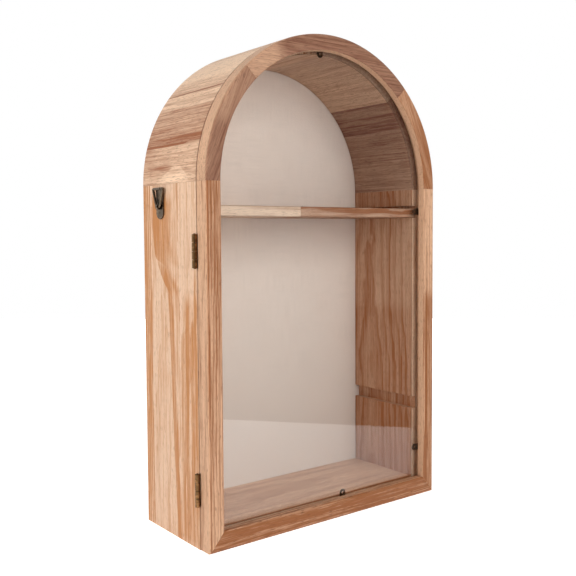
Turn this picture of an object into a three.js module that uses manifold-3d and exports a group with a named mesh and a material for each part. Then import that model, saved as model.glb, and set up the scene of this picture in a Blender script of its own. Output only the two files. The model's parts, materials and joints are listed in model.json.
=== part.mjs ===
// An arched display cabinet: a wooden case with a stave-built arch, a glazed
// door hinged on the left, a shelf in one pair of grooves and a spare pair below.
// Millimetres, +Z up, the front faces -Y, the origin is under the middle of the base.
import * as THREE from "three";
import { mergeVertices } from "three/addons/utils/BufferGeometryUtils.js";
import Module from "manifold-3d";

const wasm = await Module();
wasm.setup();

// Driving dimensions of the whole cabinet
const cabinetWidth = 242;
const sideHeight = 279;
const caseDepth = 84;
const doorThickness = 13.6;
const doorGap = 0.4;
const doorFloorClearance = 0.5;

// Case walls, arch and back
const wallThickness = 14;
const bottomThickness = 14;
const staveCount = 12;
const arcStep = 2.5;
const backRabbetWidth = 7;
const backBoardThickness = 6;
const linenThickness = 0.8;
const panelClearance = 0.3;
const glueLine = 0.2;

// Shelf and its grooves
const shelfThickness = 8.2;
const shelfJointOffset = -21.9;
const shelfSetback = 0.5;
const shelfEndPlay = 0.4;
const upperGrooveBelowSpring = 25.7;
const lowerGrooveHeight = 77.5;
const grooveWidth = 11;
const grooveDepth = 5;

// Door frame and glass
const stileWidth = 13;
const railWidth = 15.6;
const lipThickness = 6.8;
const outerEdgeRadius = 2;
const innerEdgeRadius = 1;
const archJointAngle = 46;
const glassThickness = 2.5;
const glassLap = 5;
const glassClearance = 0.4;

// Flat metal points that hold the glass in its rebate
const pointLength = 14;
const pointWidth = 6;
const pointThickness = 0.6;
const pointReach = 4.2;
const pointHoleRadius = 1;
const pointClearance = 0.25;
const rightPointBelowSpring = 20.1;
const rightPointAboveFloor = 41.9;
const pointFromHinge = 16.1;
const crownPointOffset = -4.6;
const railPointOffset = 18.7;

// Butt hinges
const hingeLength = 25.4;
const hingeKnuckles = 4;
const upperHingeBelowSpring = 51.9;
const lowerHingeHeight = 46.6;
const barrelRadius = 1.9;
const barrelProud = 2.1;
const hingePinRadius = 0.95;
const pinClearance = 0.1;
const pinEndLength = 0.6;
const leafWidth = 6.6;
const leafThickness = 0.8;
const leafClearance = 0.25;
const hingeScrewSpacing = 13;
const hingeScrewLength = 8;

// Screws and brads
const screwHeadRadius = 1.6;
const screwShankRadius = 0.75;
const screwHeadDepth = 0.7;
const screwClearance = 0.2;
const bradHeadRadius = 1.1;
const bradHeadDepth = 0.6;
const bradShankRadius = 0.5;
const bradLength = 14;
const lowBradHeight = 44;
const bradStave = 4;

// Side hangers
const hangerBelowSpring = 17.6;
const hangerFromBack = 30;
const strapWidth = 11.4;
const strapThickness = 1;
const strapDrop = 9.7;
const strapRise = 15.2;
const strapCornerRadius = 1.2;
const strapSeat = 0.2;
const ringWireRadius = 1;
const ringGap = 0.3;
const ringFootWidth = 5.2;
const ringTopWidth = 16;
const ringHeight = 14.3;
const ringBendRadius = 1.4;
const ringSplit = 1.2;
const bridgeWidth = 2.6;
const bridgeThickness = 0.8;
const bridgeClearance = 0.25;
const hangerScrewLength = 10;

// Magnetic catch
const catchRadius = 3;
const catchHeight = 150;
const magnetThickness = 3;
const strikeThickness = 1;
const catchClearance = 0.2;

// Planes and edges that follow from the sizes above
const totalDepth = caseDepth + doorGap + doorThickness;
const backY = totalDepth / 2;
const caseFrontY = backY - caseDepth;
const doorBackY = caseFrontY - doorGap;
const doorFrontY = doorBackY - doorThickness;
const outerHalf = cabinetWidth / 2;
const cavityHalf = outerHalf - wallThickness;
const rabbetDepth = backBoardThickness + linenThickness + 2 * glueLine;
const shoulderY = backY - rabbetDepth;
const linenFrontY = shoulderY + glueLine;
const openingHalf = outerHalf - stileWidth;
const railTop = doorFloorClearance + railWidth;
const glassRebate = glassLap + glassClearance;
const glassFrontY = doorFrontY + lipThickness + glueLine;
const glassBackY = glassFrontY + glassThickness;
const pointFrontY = glassBackY + pointClearance;
const barrelX = -outerHalf - barrelProud;
const jointY = (caseFrontY + doorBackY) / 2;
const staveAngle = 180 / staveCount;
const upperGrooveHeight = sideHeight - upperGrooveBelowSpring;
const upperHingeHeight = sideHeight - upperHingeBelowSpring;
const hangerPivotHeight = sideHeight - hangerBelowSpring;
const cutMargin = 1;

const degrees = Math.PI / 180;

// Every finish is one function, so that each piece gets a material of its own
const sideWood = () => new THREE.MeshStandardMaterial({ color: 0xdcae84, roughness: 0.62, metalness: 0 });
const archWood = () => new THREE.MeshStandardMaterial({ color: 0xcb9668, roughness: 0.62, metalness: 0 });
const doorWood = () => new THREE.MeshStandardMaterial({ color: 0xb27c55, roughness: 0.6, metalness: 0 });
const shelfWood = () => new THREE.MeshStandardMaterial({ color: 0xc6986c, roughness: 0.62, metalness: 0 });
const boardWood = () => new THREE.MeshStandardMaterial({ color: 0xb99872, roughness: 0.75, metalness: 0 });
const linenCloth = () => new THREE.MeshStandardMaterial({ color: 0xd8cbbf, roughness: 0.95, metalness: 0 });
const agedBrass = () => new THREE.MeshStandardMaterial({ color: 0x7a5c3a, roughness: 0.45, metalness: 1 });
const darkBronze = () => new THREE.MeshStandardMaterial({ color: 0x554838, roughness: 0.42, metalness: 1 });
const brightSteel = () => new THREE.MeshStandardMaterial({ color: 0xb9bbbd, roughness: 0.35, metalness: 1 });
const clearGlass = () =>
  new THREE.MeshStandardMaterial({
    color: 0xf2f6f5, roughness: 0.04, metalness: 0, transparent: true, opacity: 0.3,
  });

// Helpers that join, cut and place solids
function closed(geometry) {
  const bare = geometry.clone();
  bare.deleteAttribute("normal");
  bare.deleteAttribute("uv");
  return mergeVertices(bare, 1e-4);
}

function toSolid(geometry) {
  const shell = closed(geometry);
  return new wasm.Manifold(new wasm.Mesh({
    numProp: 3,
    vertProperties: new Float32Array(shell.attributes.position.array),
    triVerts: new Uint32Array(shell.index.array),
  }));
}

function toGeometry(solid) {
  const mesh = solid.getMesh();
  const geometry = new THREE.BufferGeometry();
  geometry.setAttribute("position", new THREE.BufferAttribute(new Float32Array(mesh.vertProperties), 3));
  geometry.setIndex(new THREE.BufferAttribute(new Uint32Array(mesh.triVerts), 1));
  return geometry;
}

function cut(geometry, tools) {
  let solid = toSolid(geometry);
  for (const tool of tools) {
    solid = solid.subtract(toSolid(tool));
  }
  return toGeometry(solid);
}

function join(pieces) {
  let solid = toSolid(pieces[0]);
  for (const piece of pieces.slice(1)) {
    solid = solid.add(toSolid(piece));
  }
  return toGeometry(solid);
}

function block([x0, x1], [y0, y1], [z0, z1]) {
  const geometry = new THREE.BoxGeometry(x1 - x0, y1 - y0, z1 - z0);
  return geometry.translate((x0 + x1) / 2, (y0 + y1) / 2, (z0 + z1) / 2);
}

// A drawing in X and Z, given thickness from y0 to y1
function slab(shape, y0, y1, curveSegments = 12) {
  const geometry = new THREE.ExtrudeGeometry(shape, { depth: y1 - y0, bevelEnabled: false, curveSegments });
  return geometry.rotateX(Math.PI / 2).translate(0, y1, 0);
}

// A rod along Y from y0 to y1
function rodY(radius, y0, y1, sides = 20) {
  const geometry = new THREE.CylinderGeometry(radius, radius, y1 - y0, sides);
  return geometry.translate(0, (y0 + y1) / 2, 0);
}

// A rod along Z from z0 to z1
function rodZ(radius, z0, z1, sides = 20) {
  const geometry = new THREE.CylinderGeometry(radius, radius, z1 - z0, sides);
  return geometry.rotateX(Math.PI / 2).translate(0, 0, (z0 + z1) / 2);
}

// The outline of the cabinet drawn at a distance inside its outer faces
function archShape(halfWidth, bottom) {
  const shape = new THREE.Shape();
  shape.moveTo(-halfWidth, bottom);
  shape.lineTo(halfWidth, bottom);
  shape.lineTo(halfWidth, sideHeight);
  shape.absarc(0, sideHeight, halfWidth, 0, Math.PI, false);
  shape.lineTo(-halfWidth, bottom);
  return shape;
}

function roundCorner(centreX, centreY, radius, fromDegrees, toDegrees, steps) {
  const points = [];
  for (let i = 0; i <= steps; i += 1) {
    const angle = (fromDegrees + (toDegrees - fromDegrees) * (i / steps)) * degrees;
    points.push([centreX + radius * Math.cos(angle), centreY + radius * Math.sin(angle)]);
  }
  return points;
}

// A closed sector of a ring about the Y axis, from a section of [radius, y] points
// that runs anticlockwise. Angles are in degrees from +X towards +Z.
function ringSector(section, fromAngle, toAngle) {
  const steps = Math.max(2, Math.ceil((toAngle - fromAngle) / arcStep));
  const count = section.length;
  const positions = [];
  for (let i = 0; i <= steps; i += 1) {
    const angle = (fromAngle + (toAngle - fromAngle) * (i / steps)) * degrees;
    for (const [radius, y] of section) {
      positions.push(radius * Math.cos(angle), y, radius * Math.sin(angle));
    }
  }
  const faces = [];
  for (let i = 0; i < steps; i += 1) {
    for (let j = 0; j < count; j += 1) {
      const near = i * count + j;
      const nearNext = i * count + ((j + 1) % count);
      faces.push(near, nearNext, nearNext + count);
      faces.push(near, nearNext + count, near + count);
    }
  }
  const contour = section.map(([radius, y]) => new THREE.Vector2(radius, y));
  const last = steps * count;
  for (const [a, b, c] of THREE.ShapeUtils.triangulateShape(contour, [])) {
    faces.push(a, c, b);
    faces.push(last + a, last + b, last + c);
  }
  const geometry = new THREE.BufferGeometry();
  geometry.setAttribute("position", new THREE.Float32BufferAttribute(positions, 3));
  geometry.setIndex(faces);
  return geometry;
}

// Half of the angle that keeps one glue line open at a given radius
function glueAngle(radius) {
  return Math.asin(glueLine / 2 / radius) / degrees;
}

function piece(name, geometry, material, position = [0, 0, 0]) {
  const mesh = new THREE.Mesh(closed(geometry), material);
  mesh.name = name;
  mesh.position.set(...position);
  return mesh;
}

// Countersunk screw along +Y, its flat head at y = 0
function screwGeometry(length) {
  const profile = [
    [0, 0],
    [screwHeadRadius, 0],
    [screwShankRadius, screwHeadDepth],
    [screwShankRadius, length - 2 * screwShankRadius],
    [0, length],
  ];
  return new THREE.LatheGeometry(profile.map(([r, y]) => new THREE.Vector2(r, y)), 12);
}

// The hole that a countersunk screw leaves, open past its head
function screwHole(length) {
  const head = screwHeadRadius + screwClearance;
  const shank = screwShankRadius + screwClearance;
  const profile = [
    [0, -cutMargin],
    [head, -cutMargin],
    [head, 0],
    [shank, screwHeadDepth],
    [shank, length + screwClearance],
    [0, length + screwClearance],
  ];
  return new THREE.LatheGeometry(profile.map(([r, y]) => new THREE.Vector2(r, y)), 12);
}

// Hinges: every size here is measured from the barrel's axis and half height
const leafStart = barrelRadius + leafClearance;
const leafEnd = barrelProud + leafWidth;
const leafFaceY = doorGap / 2;
const hingeScrewX = (leafStart + leafEnd) / 2;
const hingeHeights = { upper: upperHingeHeight, lower: lowerHingeHeight };
const screwRows = [-hingeScrewSpacing / 2, hingeScrewSpacing / 2];

// A leaf on the case side, with every second knuckle from the given one down
function leafGeometry(firstKnuckle) {
  const knuckleLength = hingeLength / hingeKnuckles;
  const half = hingeLength / 2;
  const parts = [block([leafStart, leafEnd], [leafFaceY, leafFaceY + leafThickness], [-half, half])];
  for (let i = firstKnuckle; i < hingeKnuckles; i += 2) {
    const top = half - i * knuckleLength - pinClearance;
    const bottom = top - knuckleLength + 2 * pinClearance;
    parts.push(rodZ(barrelRadius, bottom, top));
    parts.push(block([0, leafStart + cutMargin], [leafFaceY, leafFaceY + leafThickness], [bottom, top]));
  }
  const tools = [rodZ(hingePinRadius + pinClearance, -half - cutMargin, half + cutMargin)];
  for (const z of screwRows) {
    tools.push(screwHole(hingeScrewLength).translate(hingeScrewX, leafFaceY, z));
  }
  return cut(join(parts), tools);
}

// The door's leaf is turned over to face the case's, and its knuckles fill the gaps between them
function doorLeafGeometry() {
  return leafGeometry((hingeKnuckles - 1) % 2).rotateX(Math.PI);
}

function hingePinGeometry() {
  const half = hingeLength / 2 + pinEndLength;
  return rodZ(hingePinRadius, -half, half, 16);
}

// The shallow mortise and screw holes for one leaf, in the case's front edge
function leafMortise() {
  const half = hingeLength / 2 + leafClearance;
  const depth = leafFaceY + leafThickness + glueLine;
  const pocket = block([barrelProud - cutMargin, leafEnd + leafClearance], [-doorGap, depth], [-half, half]);
  const holes = screwRows.map((z) => screwHole(hingeScrewLength).translate(hingeScrewX, leafFaceY, z));
  return [pocket, ...holes];
}

function caseMortises() {
  const tools = [];
  for (const height of Object.values(hingeHeights)) {
    tools.push(...leafMortise().map((tool) => tool.translate(barrelX, jointY, height)));
  }
  return tools;
}

function doorMortises() {
  const tools = [];
  for (const height of Object.values(hingeHeights)) {
    tools.push(...leafMortise().map((tool) => tool.rotateX(Math.PI).translate(barrelX, jointY, height)));
  }
  return tools;
}

function hinge(label, height) {
  const casePart = new THREE.Group();
  const doorPart = new THREE.Group();
  const place = [barrelX, jointY, height];
  casePart.add(piece(`hinge_${label}_case_leaf`, leafGeometry(1), agedBrass(), place));
  casePart.add(piece(`hinge_${label}_pin`, hingePinGeometry(), agedBrass(), place));
  doorPart.add(piece(`hinge_${label}_door_leaf`, doorLeafGeometry(), agedBrass(), place));
  screwRows.forEach((z, i) => {
    const name = (leaf) => `hinge_${label}_${leaf}_screw_${i + 1}`;
    const caseScrew = piece(name("case"), screwGeometry(hingeScrewLength), agedBrass());
    caseScrew.position.set(barrelX + hingeScrewX, jointY + leafFaceY, height + z);
    casePart.add(caseScrew);
    const doorScrew = piece(name("door"), screwGeometry(hingeScrewLength), agedBrass());
    doorScrew.rotation.x = Math.PI;
    doorScrew.position.set(barrelX + hingeScrewX, jointY - leafFaceY, height + z);
    doorPart.add(doorScrew);
  });
  return { casePart, doorPart };
}

// Hangers: drawn on the right-hand side, with x measured outwards from the side face
const ringAxisX = strapSeat + strapThickness + ringGap + ringWireRadius;
const strapFaceX = strapSeat + strapThickness;
const hangerY = backY - hangerFromBack;
const hangerScrewZ = strapWidth / 2 - strapDrop;

function strapShape() {
  const half = strapWidth / 2;
  const cornerX = half - strapCornerRadius;
  const cornerY = strapRise - strapCornerRadius;
  const shape = new THREE.Shape();
  shape.moveTo(half, cornerY);
  shape.absarc(cornerX, cornerY, strapCornerRadius, 0, Math.PI / 2, false);
  shape.absarc(-cornerX, cornerY, strapCornerRadius, Math.PI / 2, Math.PI, false);
  shape.absarc(0, half - strapDrop, half, Math.PI, 2 * Math.PI, false);
  return shape;
}

// Strap with the bridge that holds the ring's foot
function strapGeometry() {
  const plate = slab(strapShape(), 0, strapThickness).rotateZ(Math.PI / 2).translate(strapFaceX, 0, 0);
  const bridgeRadius = ringWireRadius + bridgeClearance + bridgeThickness;
  const eyeRadius = ringWireRadius + bridgeClearance;
  const halfBridge = bridgeWidth / 2;
  const halfPlateX = strapFaceX - strapThickness / 2;
  const acrossBridge = [-halfBridge, halfBridge];
  const dome = rodY(bridgeRadius, ...acrossBridge, 24).translate(ringAxisX, 0, 0);
  const cheeks = block([halfPlateX, ringAxisX], acrossBridge, [-bridgeRadius, bridgeRadius]);
  const backOfDome = block([-bridgeRadius, halfPlateX], [-bridgeWidth, bridgeWidth], [-strapRise, strapRise]);
  const bridge = cut(join([dome, cheeks]), [backOfDome]);
  const eye = rodY(eyeRadius, -bridgeWidth, bridgeWidth, 24).translate(ringAxisX, 0, 0);
  const hole = screwHole(hangerScrewLength).rotateZ(Math.PI / 2).translate(strapFaceX, 0, hangerScrewZ);
  return cut(join([plate, bridge]), [eye, hole]);
}

// Centre line of the wire ring in Y and Z: a triangle on its narrow foot, split near one top corner
function ringPath() {
  const foot = ringFootWidth / 2;
  const top = ringTopWidth / 2;
  const corners = [
    new THREE.Vector3(0, top, ringHeight),
    new THREE.Vector3(0, foot, 0),
    new THREE.Vector3(0, -foot, 0),
    new THREE.Vector3(0, -top, ringHeight),
  ];
  const start = new THREE.Vector3(0, top - ringBendRadius - ringSplit, ringHeight);
  const end = new THREE.Vector3(0, top - ringBendRadius - 2 * ringSplit, ringHeight);
  const stops = [start, ...corners, end];
  const path = new THREE.CurvePath();
  let from = start;
  for (let i = 1; i < stops.length - 1; i += 1) {
    const corner = stops[i];
    const before = corner.clone().add(stops[i - 1].clone().sub(corner).setLength(ringBendRadius));
    const after = corner.clone().add(stops[i + 1].clone().sub(corner).setLength(ringBendRadius));
    path.add(new THREE.LineCurve3(from, before));
    path.add(new THREE.QuadraticBezierCurve3(before, corner, after));
    from = after;
  }
  path.add(new THREE.LineCurve3(from, end));
  return path;
}

function ringGeometry() {
  const section = new THREE.Shape();
  section.absarc(0, 0, ringWireRadius, 0, 2 * Math.PI, false);
  return new THREE.ExtrudeGeometry(section, {
    steps: 48, curveSegments: 4, bevelEnabled: false, extrudePath: ringPath(),
  });
}

// One hanger on a group turned so that its x points out of the left or right side
function hanger(label, side) {
  const fixed = new THREE.Group();
  const swinging = new THREE.Group();
  for (const group of [fixed, swinging]) {
    group.position.set(side * outerHalf, hangerY, hangerPivotHeight);
    group.rotation.z = side < 0 ? Math.PI : 0;
  }
  fixed.add(piece(`hanger_strap_${label}`, strapGeometry(), darkBronze()));
  const screw = piece(`hanger_screw_${label}`, screwGeometry(hangerScrewLength), darkBronze());
  screw.rotation.z = Math.PI / 2;
  screw.position.set(strapFaceX, 0, hangerScrewZ);
  fixed.add(screw);
  swinging.add(piece(`hanger_ring_${label}`, ringGeometry(), darkBronze(), [ringAxisX, 0, 0]));
  return { fixed, swinging };
}

// The pilot hole that a hanger's screw needs in the side it is screwed to
function hangerPilot(side) {
  const hole = screwHole(hangerScrewLength).rotateZ(Math.PI / 2).translate(strapFaceX, 0, hangerScrewZ);
  if (side < 0) {
    hole.rotateZ(Math.PI);
  }
  return hole.translate(side * outerHalf, hangerY, hangerPivotHeight);
}

// Brads that pin the back: two low in the sides and two in the arch
const bradRadius = cavityHalf + (backRabbetWidth - panelClearance) / 2;
const bradAngle = (bradStave + 0.5) * staveAngle * degrees;
const bradPlaces = {
  low_left: [-bradRadius, lowBradHeight],
  low_right: [bradRadius, lowBradHeight],
  arch_left: [-bradRadius * Math.cos(bradAngle), sideHeight + bradRadius * Math.sin(bradAngle)],
  arch_right: [bradRadius * Math.cos(bradAngle), sideHeight + bradRadius * Math.sin(bradAngle)],
};

// Turned about Y, with the head at y = 0 and the point towards -Y
function bradGeometry() {
  const profile = [
    [0, -bradLength],
    [bradShankRadius, -bradLength + 2 * bradShankRadius],
    [bradShankRadius, -bradHeadDepth],
    [bradHeadRadius, -bradHeadDepth],
    [bradHeadRadius, 0],
    [0, 0],
  ];
  return new THREE.LatheGeometry(profile.map(([r, y]) => new THREE.Vector2(r, y)), 12);
}

function bradHole([x, z]) {
  const head = bradHeadRadius + screwClearance;
  const shank = bradShankRadius + screwClearance;
  const headSeat = bradHeadDepth + screwClearance;
  const profile = [
    [0, -bradLength - screwClearance],
    [shank, -bradLength - screwClearance],
    [shank, -headSeat],
    [head, -headSeat],
    [head, cutMargin],
    [0, cutMargin],
  ];
  const hole = new THREE.LatheGeometry(profile.map(([r, y]) => new THREE.Vector2(r, y)), 12);
  return hole.translate(x, backY, z);
}

function brads() {
  return Object.entries(bradPlaces).map(([label, [x, z]]) =>
    piece(`back_brad_${label}`, bradGeometry(), brightSteel(), [x, backY, z]));
}

// Magnetic catch: a magnet let into the case and a steel disc let into the door
const catchX = openingHalf + (stileWidth + glassRebate) / 2;

function catchHole(y0, y1) {
  return rodY(catchRadius + catchClearance, y0, y1, 24).translate(catchX, 0, catchHeight);
}

function magnet() {
  const disc = rodY(catchRadius, 0, magnetThickness, 24);
  return piece("catch_magnet", disc, brightSteel(), [catchX, caseFrontY, catchHeight]);
}

function strikeDisc() {
  const disc = rodY(catchRadius, -strikeThickness, 0, 24);
  return piece("catch_strike_disc", disc, brightSteel(), [catchX, doorBackY, catchHeight]);
}

// Side panel with its two shelf grooves, the rabbet for the back and the holes for what it carries
function sidePanel(label, side) {
  const inner = cavityHalf - cutMargin;
  const span = (near, far) => (side < 0 ? [-far, -near] : [near, far]);
  const board = block(span(cavityHalf, outerHalf), [caseFrontY, backY], [0, sideHeight - glueLine / 2]);
  const tools = [];
  for (const height of [upperGrooveHeight, lowerGrooveHeight]) {
    tools.push(block(
      span(inner, cavityHalf + grooveDepth),
      [caseFrontY - cutMargin, backY + cutMargin],
      [height, height + grooveWidth],
    ));
  }
  tools.push(block(
    span(inner, cavityHalf + backRabbetWidth),
    [shoulderY, backY + cutMargin],
    [bottomThickness - backRabbetWidth, sideHeight + cutMargin],
  ));
  tools.push(bradHole(bradPlaces[`low_${label}`]));
  tools.push(hangerPilot(side));
  if (side < 0) {
    tools.push(...caseMortises());
  } else {
    tools.push(catchHole(caseFrontY - cutMargin, caseFrontY + magnetThickness + catchClearance));
  }
  return piece(`side_panel_${label}`, cut(board, tools), sideWood());
}

function bottomBoard() {
  const half = cavityHalf - glueLine;
  const board = block([-half, half], [caseFrontY, backY], [0, bottomThickness]);
  const rabbet = block(
    [-half - cutMargin, half + cutMargin],
    [shoulderY, backY + cutMargin],
    [bottomThickness - backRabbetWidth, bottomThickness + cutMargin],
  );
  return piece("bottom_board", cut(board, [rabbet]), sideWood());
}

// One arch stave about the +X direction, rabbeted at the back like the sides
function staveGeometry() {
  const half = staveAngle / 2 - glueAngle(cavityHalf);
  const section = [
    [cavityHalf, caseFrontY],
    [outerHalf, caseFrontY],
    [outerHalf, backY],
    [cavityHalf + backRabbetWidth, backY],
    [cavityHalf + backRabbetWidth, shoulderY],
    [cavityHalf, shoulderY],
  ];
  return ringSector(section, -half, half);
}

function arch() {
  const group = new THREE.Group();
  group.position.z = sideHeight;
  for (let i = 0; i < staveCount; i += 1) {
    const middle = (i + 0.5) * staveAngle;
    const tools = [];
    for (const label of ["arch_left", "arch_right"]) {
      const [x, z] = bradPlaces[label];
      const nearest = Math.atan2(z - sideHeight, x) / degrees;
      if (Math.abs(nearest - middle) < staveAngle / 2) {
        tools.push(bradHole([x, z]).translate(0, 0, -sideHeight).rotateY(middle * degrees));
      }
    }
    const geometry = tools.length ? cut(staveGeometry(), tools) : staveGeometry();
    const stave = piece(`arch_stave_${String(i + 1).padStart(2, "0")}`, geometry, archWood());
    stave.rotation.y = -middle * degrees;
    group.add(stave);
  }
  return group;
}

// Back board and the cloth glued over its front
function backShape() {
  return archShape(
    cavityHalf + backRabbetWidth - panelClearance,
    bottomThickness - backRabbetWidth + panelClearance,
  );
}

function backPieces() {
  const holes = () => Object.values(bradPlaces).map((place) => bradHole(place));
  const board = slab(backShape(), backY - backBoardThickness, backY, 26);
  const cloth = slab(backShape(), linenFrontY, linenFrontY + linenThickness, 26);
  return [
    piece("back_board", cut(board, holes()), boardWood()),
    piece("backing_linen", cut(cloth, holes()), linenCloth()),
  ];
}

// The shelf is two boards glued end to end, resting on the floor of the upper grooves
function shelf() {
  const reach = cavityHalf + grooveDepth - shelfEndPlay;
  const depth = [caseFrontY + shelfSetback, linenFrontY - panelClearance];
  const underside = upperGrooveHeight + glueLine;
  const rise = [underside, underside + shelfThickness];
  const joint = glueLine / 2;
  return [
    piece("shelf_board_left", block([-reach, shelfJointOffset - joint], depth, rise), shelfWood()),
    piece("shelf_board_right", block([shelfJointOffset + joint, reach], depth, rise), shelfWood()),
  ];
}

// Section of a door member as [distance out, y] points: rounded front edges and a rebate behind
function doorSection(inner, outer) {
  return [
    ...roundCorner(inner + innerEdgeRadius, doorFrontY + innerEdgeRadius, innerEdgeRadius, 180, 270, 2),
    ...roundCorner(outer - outerEdgeRadius, doorFrontY + outerEdgeRadius, outerEdgeRadius, 270, 360, 3),
    [outer, doorBackY],
    [inner + glassRebate, doorBackY],
    [inner + glassRebate, doorFrontY + lipThickness],
    [inner, doorFrontY + lipThickness],
  ];
}

function sectionShape(points, sign) {
  return new THREE.Shape(points.map(([out, y]) => new THREE.Vector2(sign * out, y)));
}

// Wedge on one side of the mitre line at a lower corner, for the stile or for the rail
function mitreWedge(side, forStile) {
  const slope = railWidth / stileWidth;
  const rise = (glueLine / 2) * Math.hypot(1, slope);
  const lift = forStile ? rise : -rise;
  const edge = (out) => doorFloorClearance + (outerHalf - out) * slope + lift;
  const near = openingHalf - cutMargin;
  const far = outerHalf + cutMargin;
  const away = forStile ? -railWidth : 2 * railWidth;
  const corners = [[far, edge(far)], [near, edge(near)], [near, away], [far, away]];
  const shape = new THREE.Shape(corners.map(([x, z]) => new THREE.Vector2(side * x, z)));
  return slab(shape, doorFrontY - cutMargin, doorBackY + cutMargin);
}

// Where each glazing point crosses the edge of the opening, and how it is turned about Y
const crownAngle = Math.acos(crownPointOffset / openingHalf);
const pointAboveHinge = hingeLength / 2 + pointFromHinge + pointWidth / 2;
const pointPlaces = {
  left_upper: [-openingHalf, upperHingeHeight + pointAboveHinge, 0],
  left_lower: [-openingHalf, lowerHingeHeight + pointAboveHinge, 0],
  right_upper: [openingHalf, sideHeight - rightPointBelowSpring, Math.PI],
  right_lower: [openingHalf, rightPointAboveFloor, Math.PI],
  bottom: [railPointOffset, railTop, -Math.PI / 2],
  crown: [crownPointOffset, sideHeight + openingHalf * Math.sin(crownAngle), Math.PI - crownAngle],
};

// A flat point with a round, pierced nose towards +X and its tail in the wood
function glazingPointGeometry() {
  const half = pointWidth / 2;
  const shape = new THREE.Shape();
  shape.moveTo(pointReach - pointLength, -half);
  shape.lineTo(pointReach - half, -half);
  shape.absarc(pointReach - half, 0, half, -Math.PI / 2, Math.PI / 2, false);
  shape.lineTo(pointReach - pointLength, half);
  const hole = new THREE.Path();
  hole.absarc(pointReach - half, 0, pointHoleRadius, 0, 2 * Math.PI, true);
  shape.holes.push(hole);
  return slab(shape, 0, pointThickness, 5);
}

function glazingPoint(label) {
  const [x, z, turn] = pointPlaces[label];
  const mesh = piece(`glazing_point_${label}`, glazingPointGeometry(), darkBronze(), [x, pointFrontY, z]);
  mesh.rotation.y = turn;
  return mesh;
}

// The slit that a point's tail is pressed into
function pointSlit(label) {
  const [x, z, turn] = pointPlaces[label];
  const half = pointWidth / 2 + pointClearance;
  const tail = pointReach - pointLength - pointClearance;
  const slit = block(
    [tail, -glassRebate + cutMargin],
    [-pointClearance, pointThickness + pointClearance],
    [-half, half],
  );
  return slit.rotateY(turn).translate(x, pointFrontY, z);
}

function doorStile(label, side) {
  const height = sideHeight - glueLine / 2 - doorFloorClearance;
  const section = sectionShape(doorSection(openingHalf, outerHalf), side);
  const bar = new THREE.ExtrudeGeometry(section, { depth: height, bevelEnabled: false });
  bar.translate(0, 0, doorFloorClearance);
  const tools = [mitreWedge(side, true), pointSlit(`${label}_upper`), pointSlit(`${label}_lower`)];
  if (side < 0) {
    tools.push(...doorMortises());
  } else {
    tools.push(catchHole(doorBackY - strikeThickness - catchClearance, doorBackY + cutMargin));
  }
  return piece(`door_stile_${label}`, cut(bar, tools), doorWood());
}

function doorRail() {
  const section = sectionShape(doorSection(0, railWidth), 1);
  const bar = new THREE.ExtrudeGeometry(section, { depth: cabinetWidth, bevelEnabled: false });
  bar.rotateY(Math.PI / 2).translate(-outerHalf, 0, railTop);
  const tools = [mitreWedge(-1, false), mitreWedge(1, false), pointSlit("bottom")];
  return piece("door_rail_bottom", cut(bar, tools), doorWood());
}

function doorArch() {
  const group = new THREE.Group();
  const gap = glueAngle(openingHalf);
  const section = doorSection(openingHalf, outerHalf);
  const joints = [0, archJointAngle, 180 - archJointAngle, 180];
  ["right", "top", "left"].forEach((label, i) => {
    const sector = ringSector(section, joints[i] + gap, joints[i + 1] - gap).translate(0, 0, sideHeight);
    const geometry = label === "top" ? cut(sector, [pointSlit("crown")]) : sector;
    group.add(piece(`door_arch_${label}`, geometry, doorWood()));
  });
  return group;
}

function glassPane() {
  const outline = archShape(openingHalf + glassLap, railTop - glassLap);
  return piece("glass_pane", slab(outline, glassFrontY, glassBackY, 26), clearGlass());
}

// The cabinet, put together
const cabinet = new THREE.Group();
const caseGroup = new THREE.Group();
const doorGroup = new THREE.Group();
cabinet.add(caseGroup, doorGroup);

caseGroup.add(sidePanel("left", -1), sidePanel("right", 1), bottomBoard(), arch());
caseGroup.add(...backPieces(), ...shelf(), ...brads(), magnet());

doorGroup.add(doorStile("left", -1), doorStile("right", 1), doorRail(), doorArch(), glassPane());
doorGroup.add(...Object.keys(pointPlaces).map((label) => glazingPoint(label)), strikeDisc());

for (const [label, height] of Object.entries(hingeHeights)) {
  const { casePart, doorPart } = hinge(label, height);
  caseGroup.add(casePart);
  doorGroup.add(doorPart);
}

for (const [label, side] of [["left", -1], ["right", 1]]) {
  const { fixed, swinging } = hanger(label, side);
  caseGroup.add(fixed);
  cabinet.add(swinging);
}

export default cabinet;
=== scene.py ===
import json
import math
from collections import namedtuple
from contextlib import contextmanager

import bmesh
import bpy
from mathutils import Matrix, Vector

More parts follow.
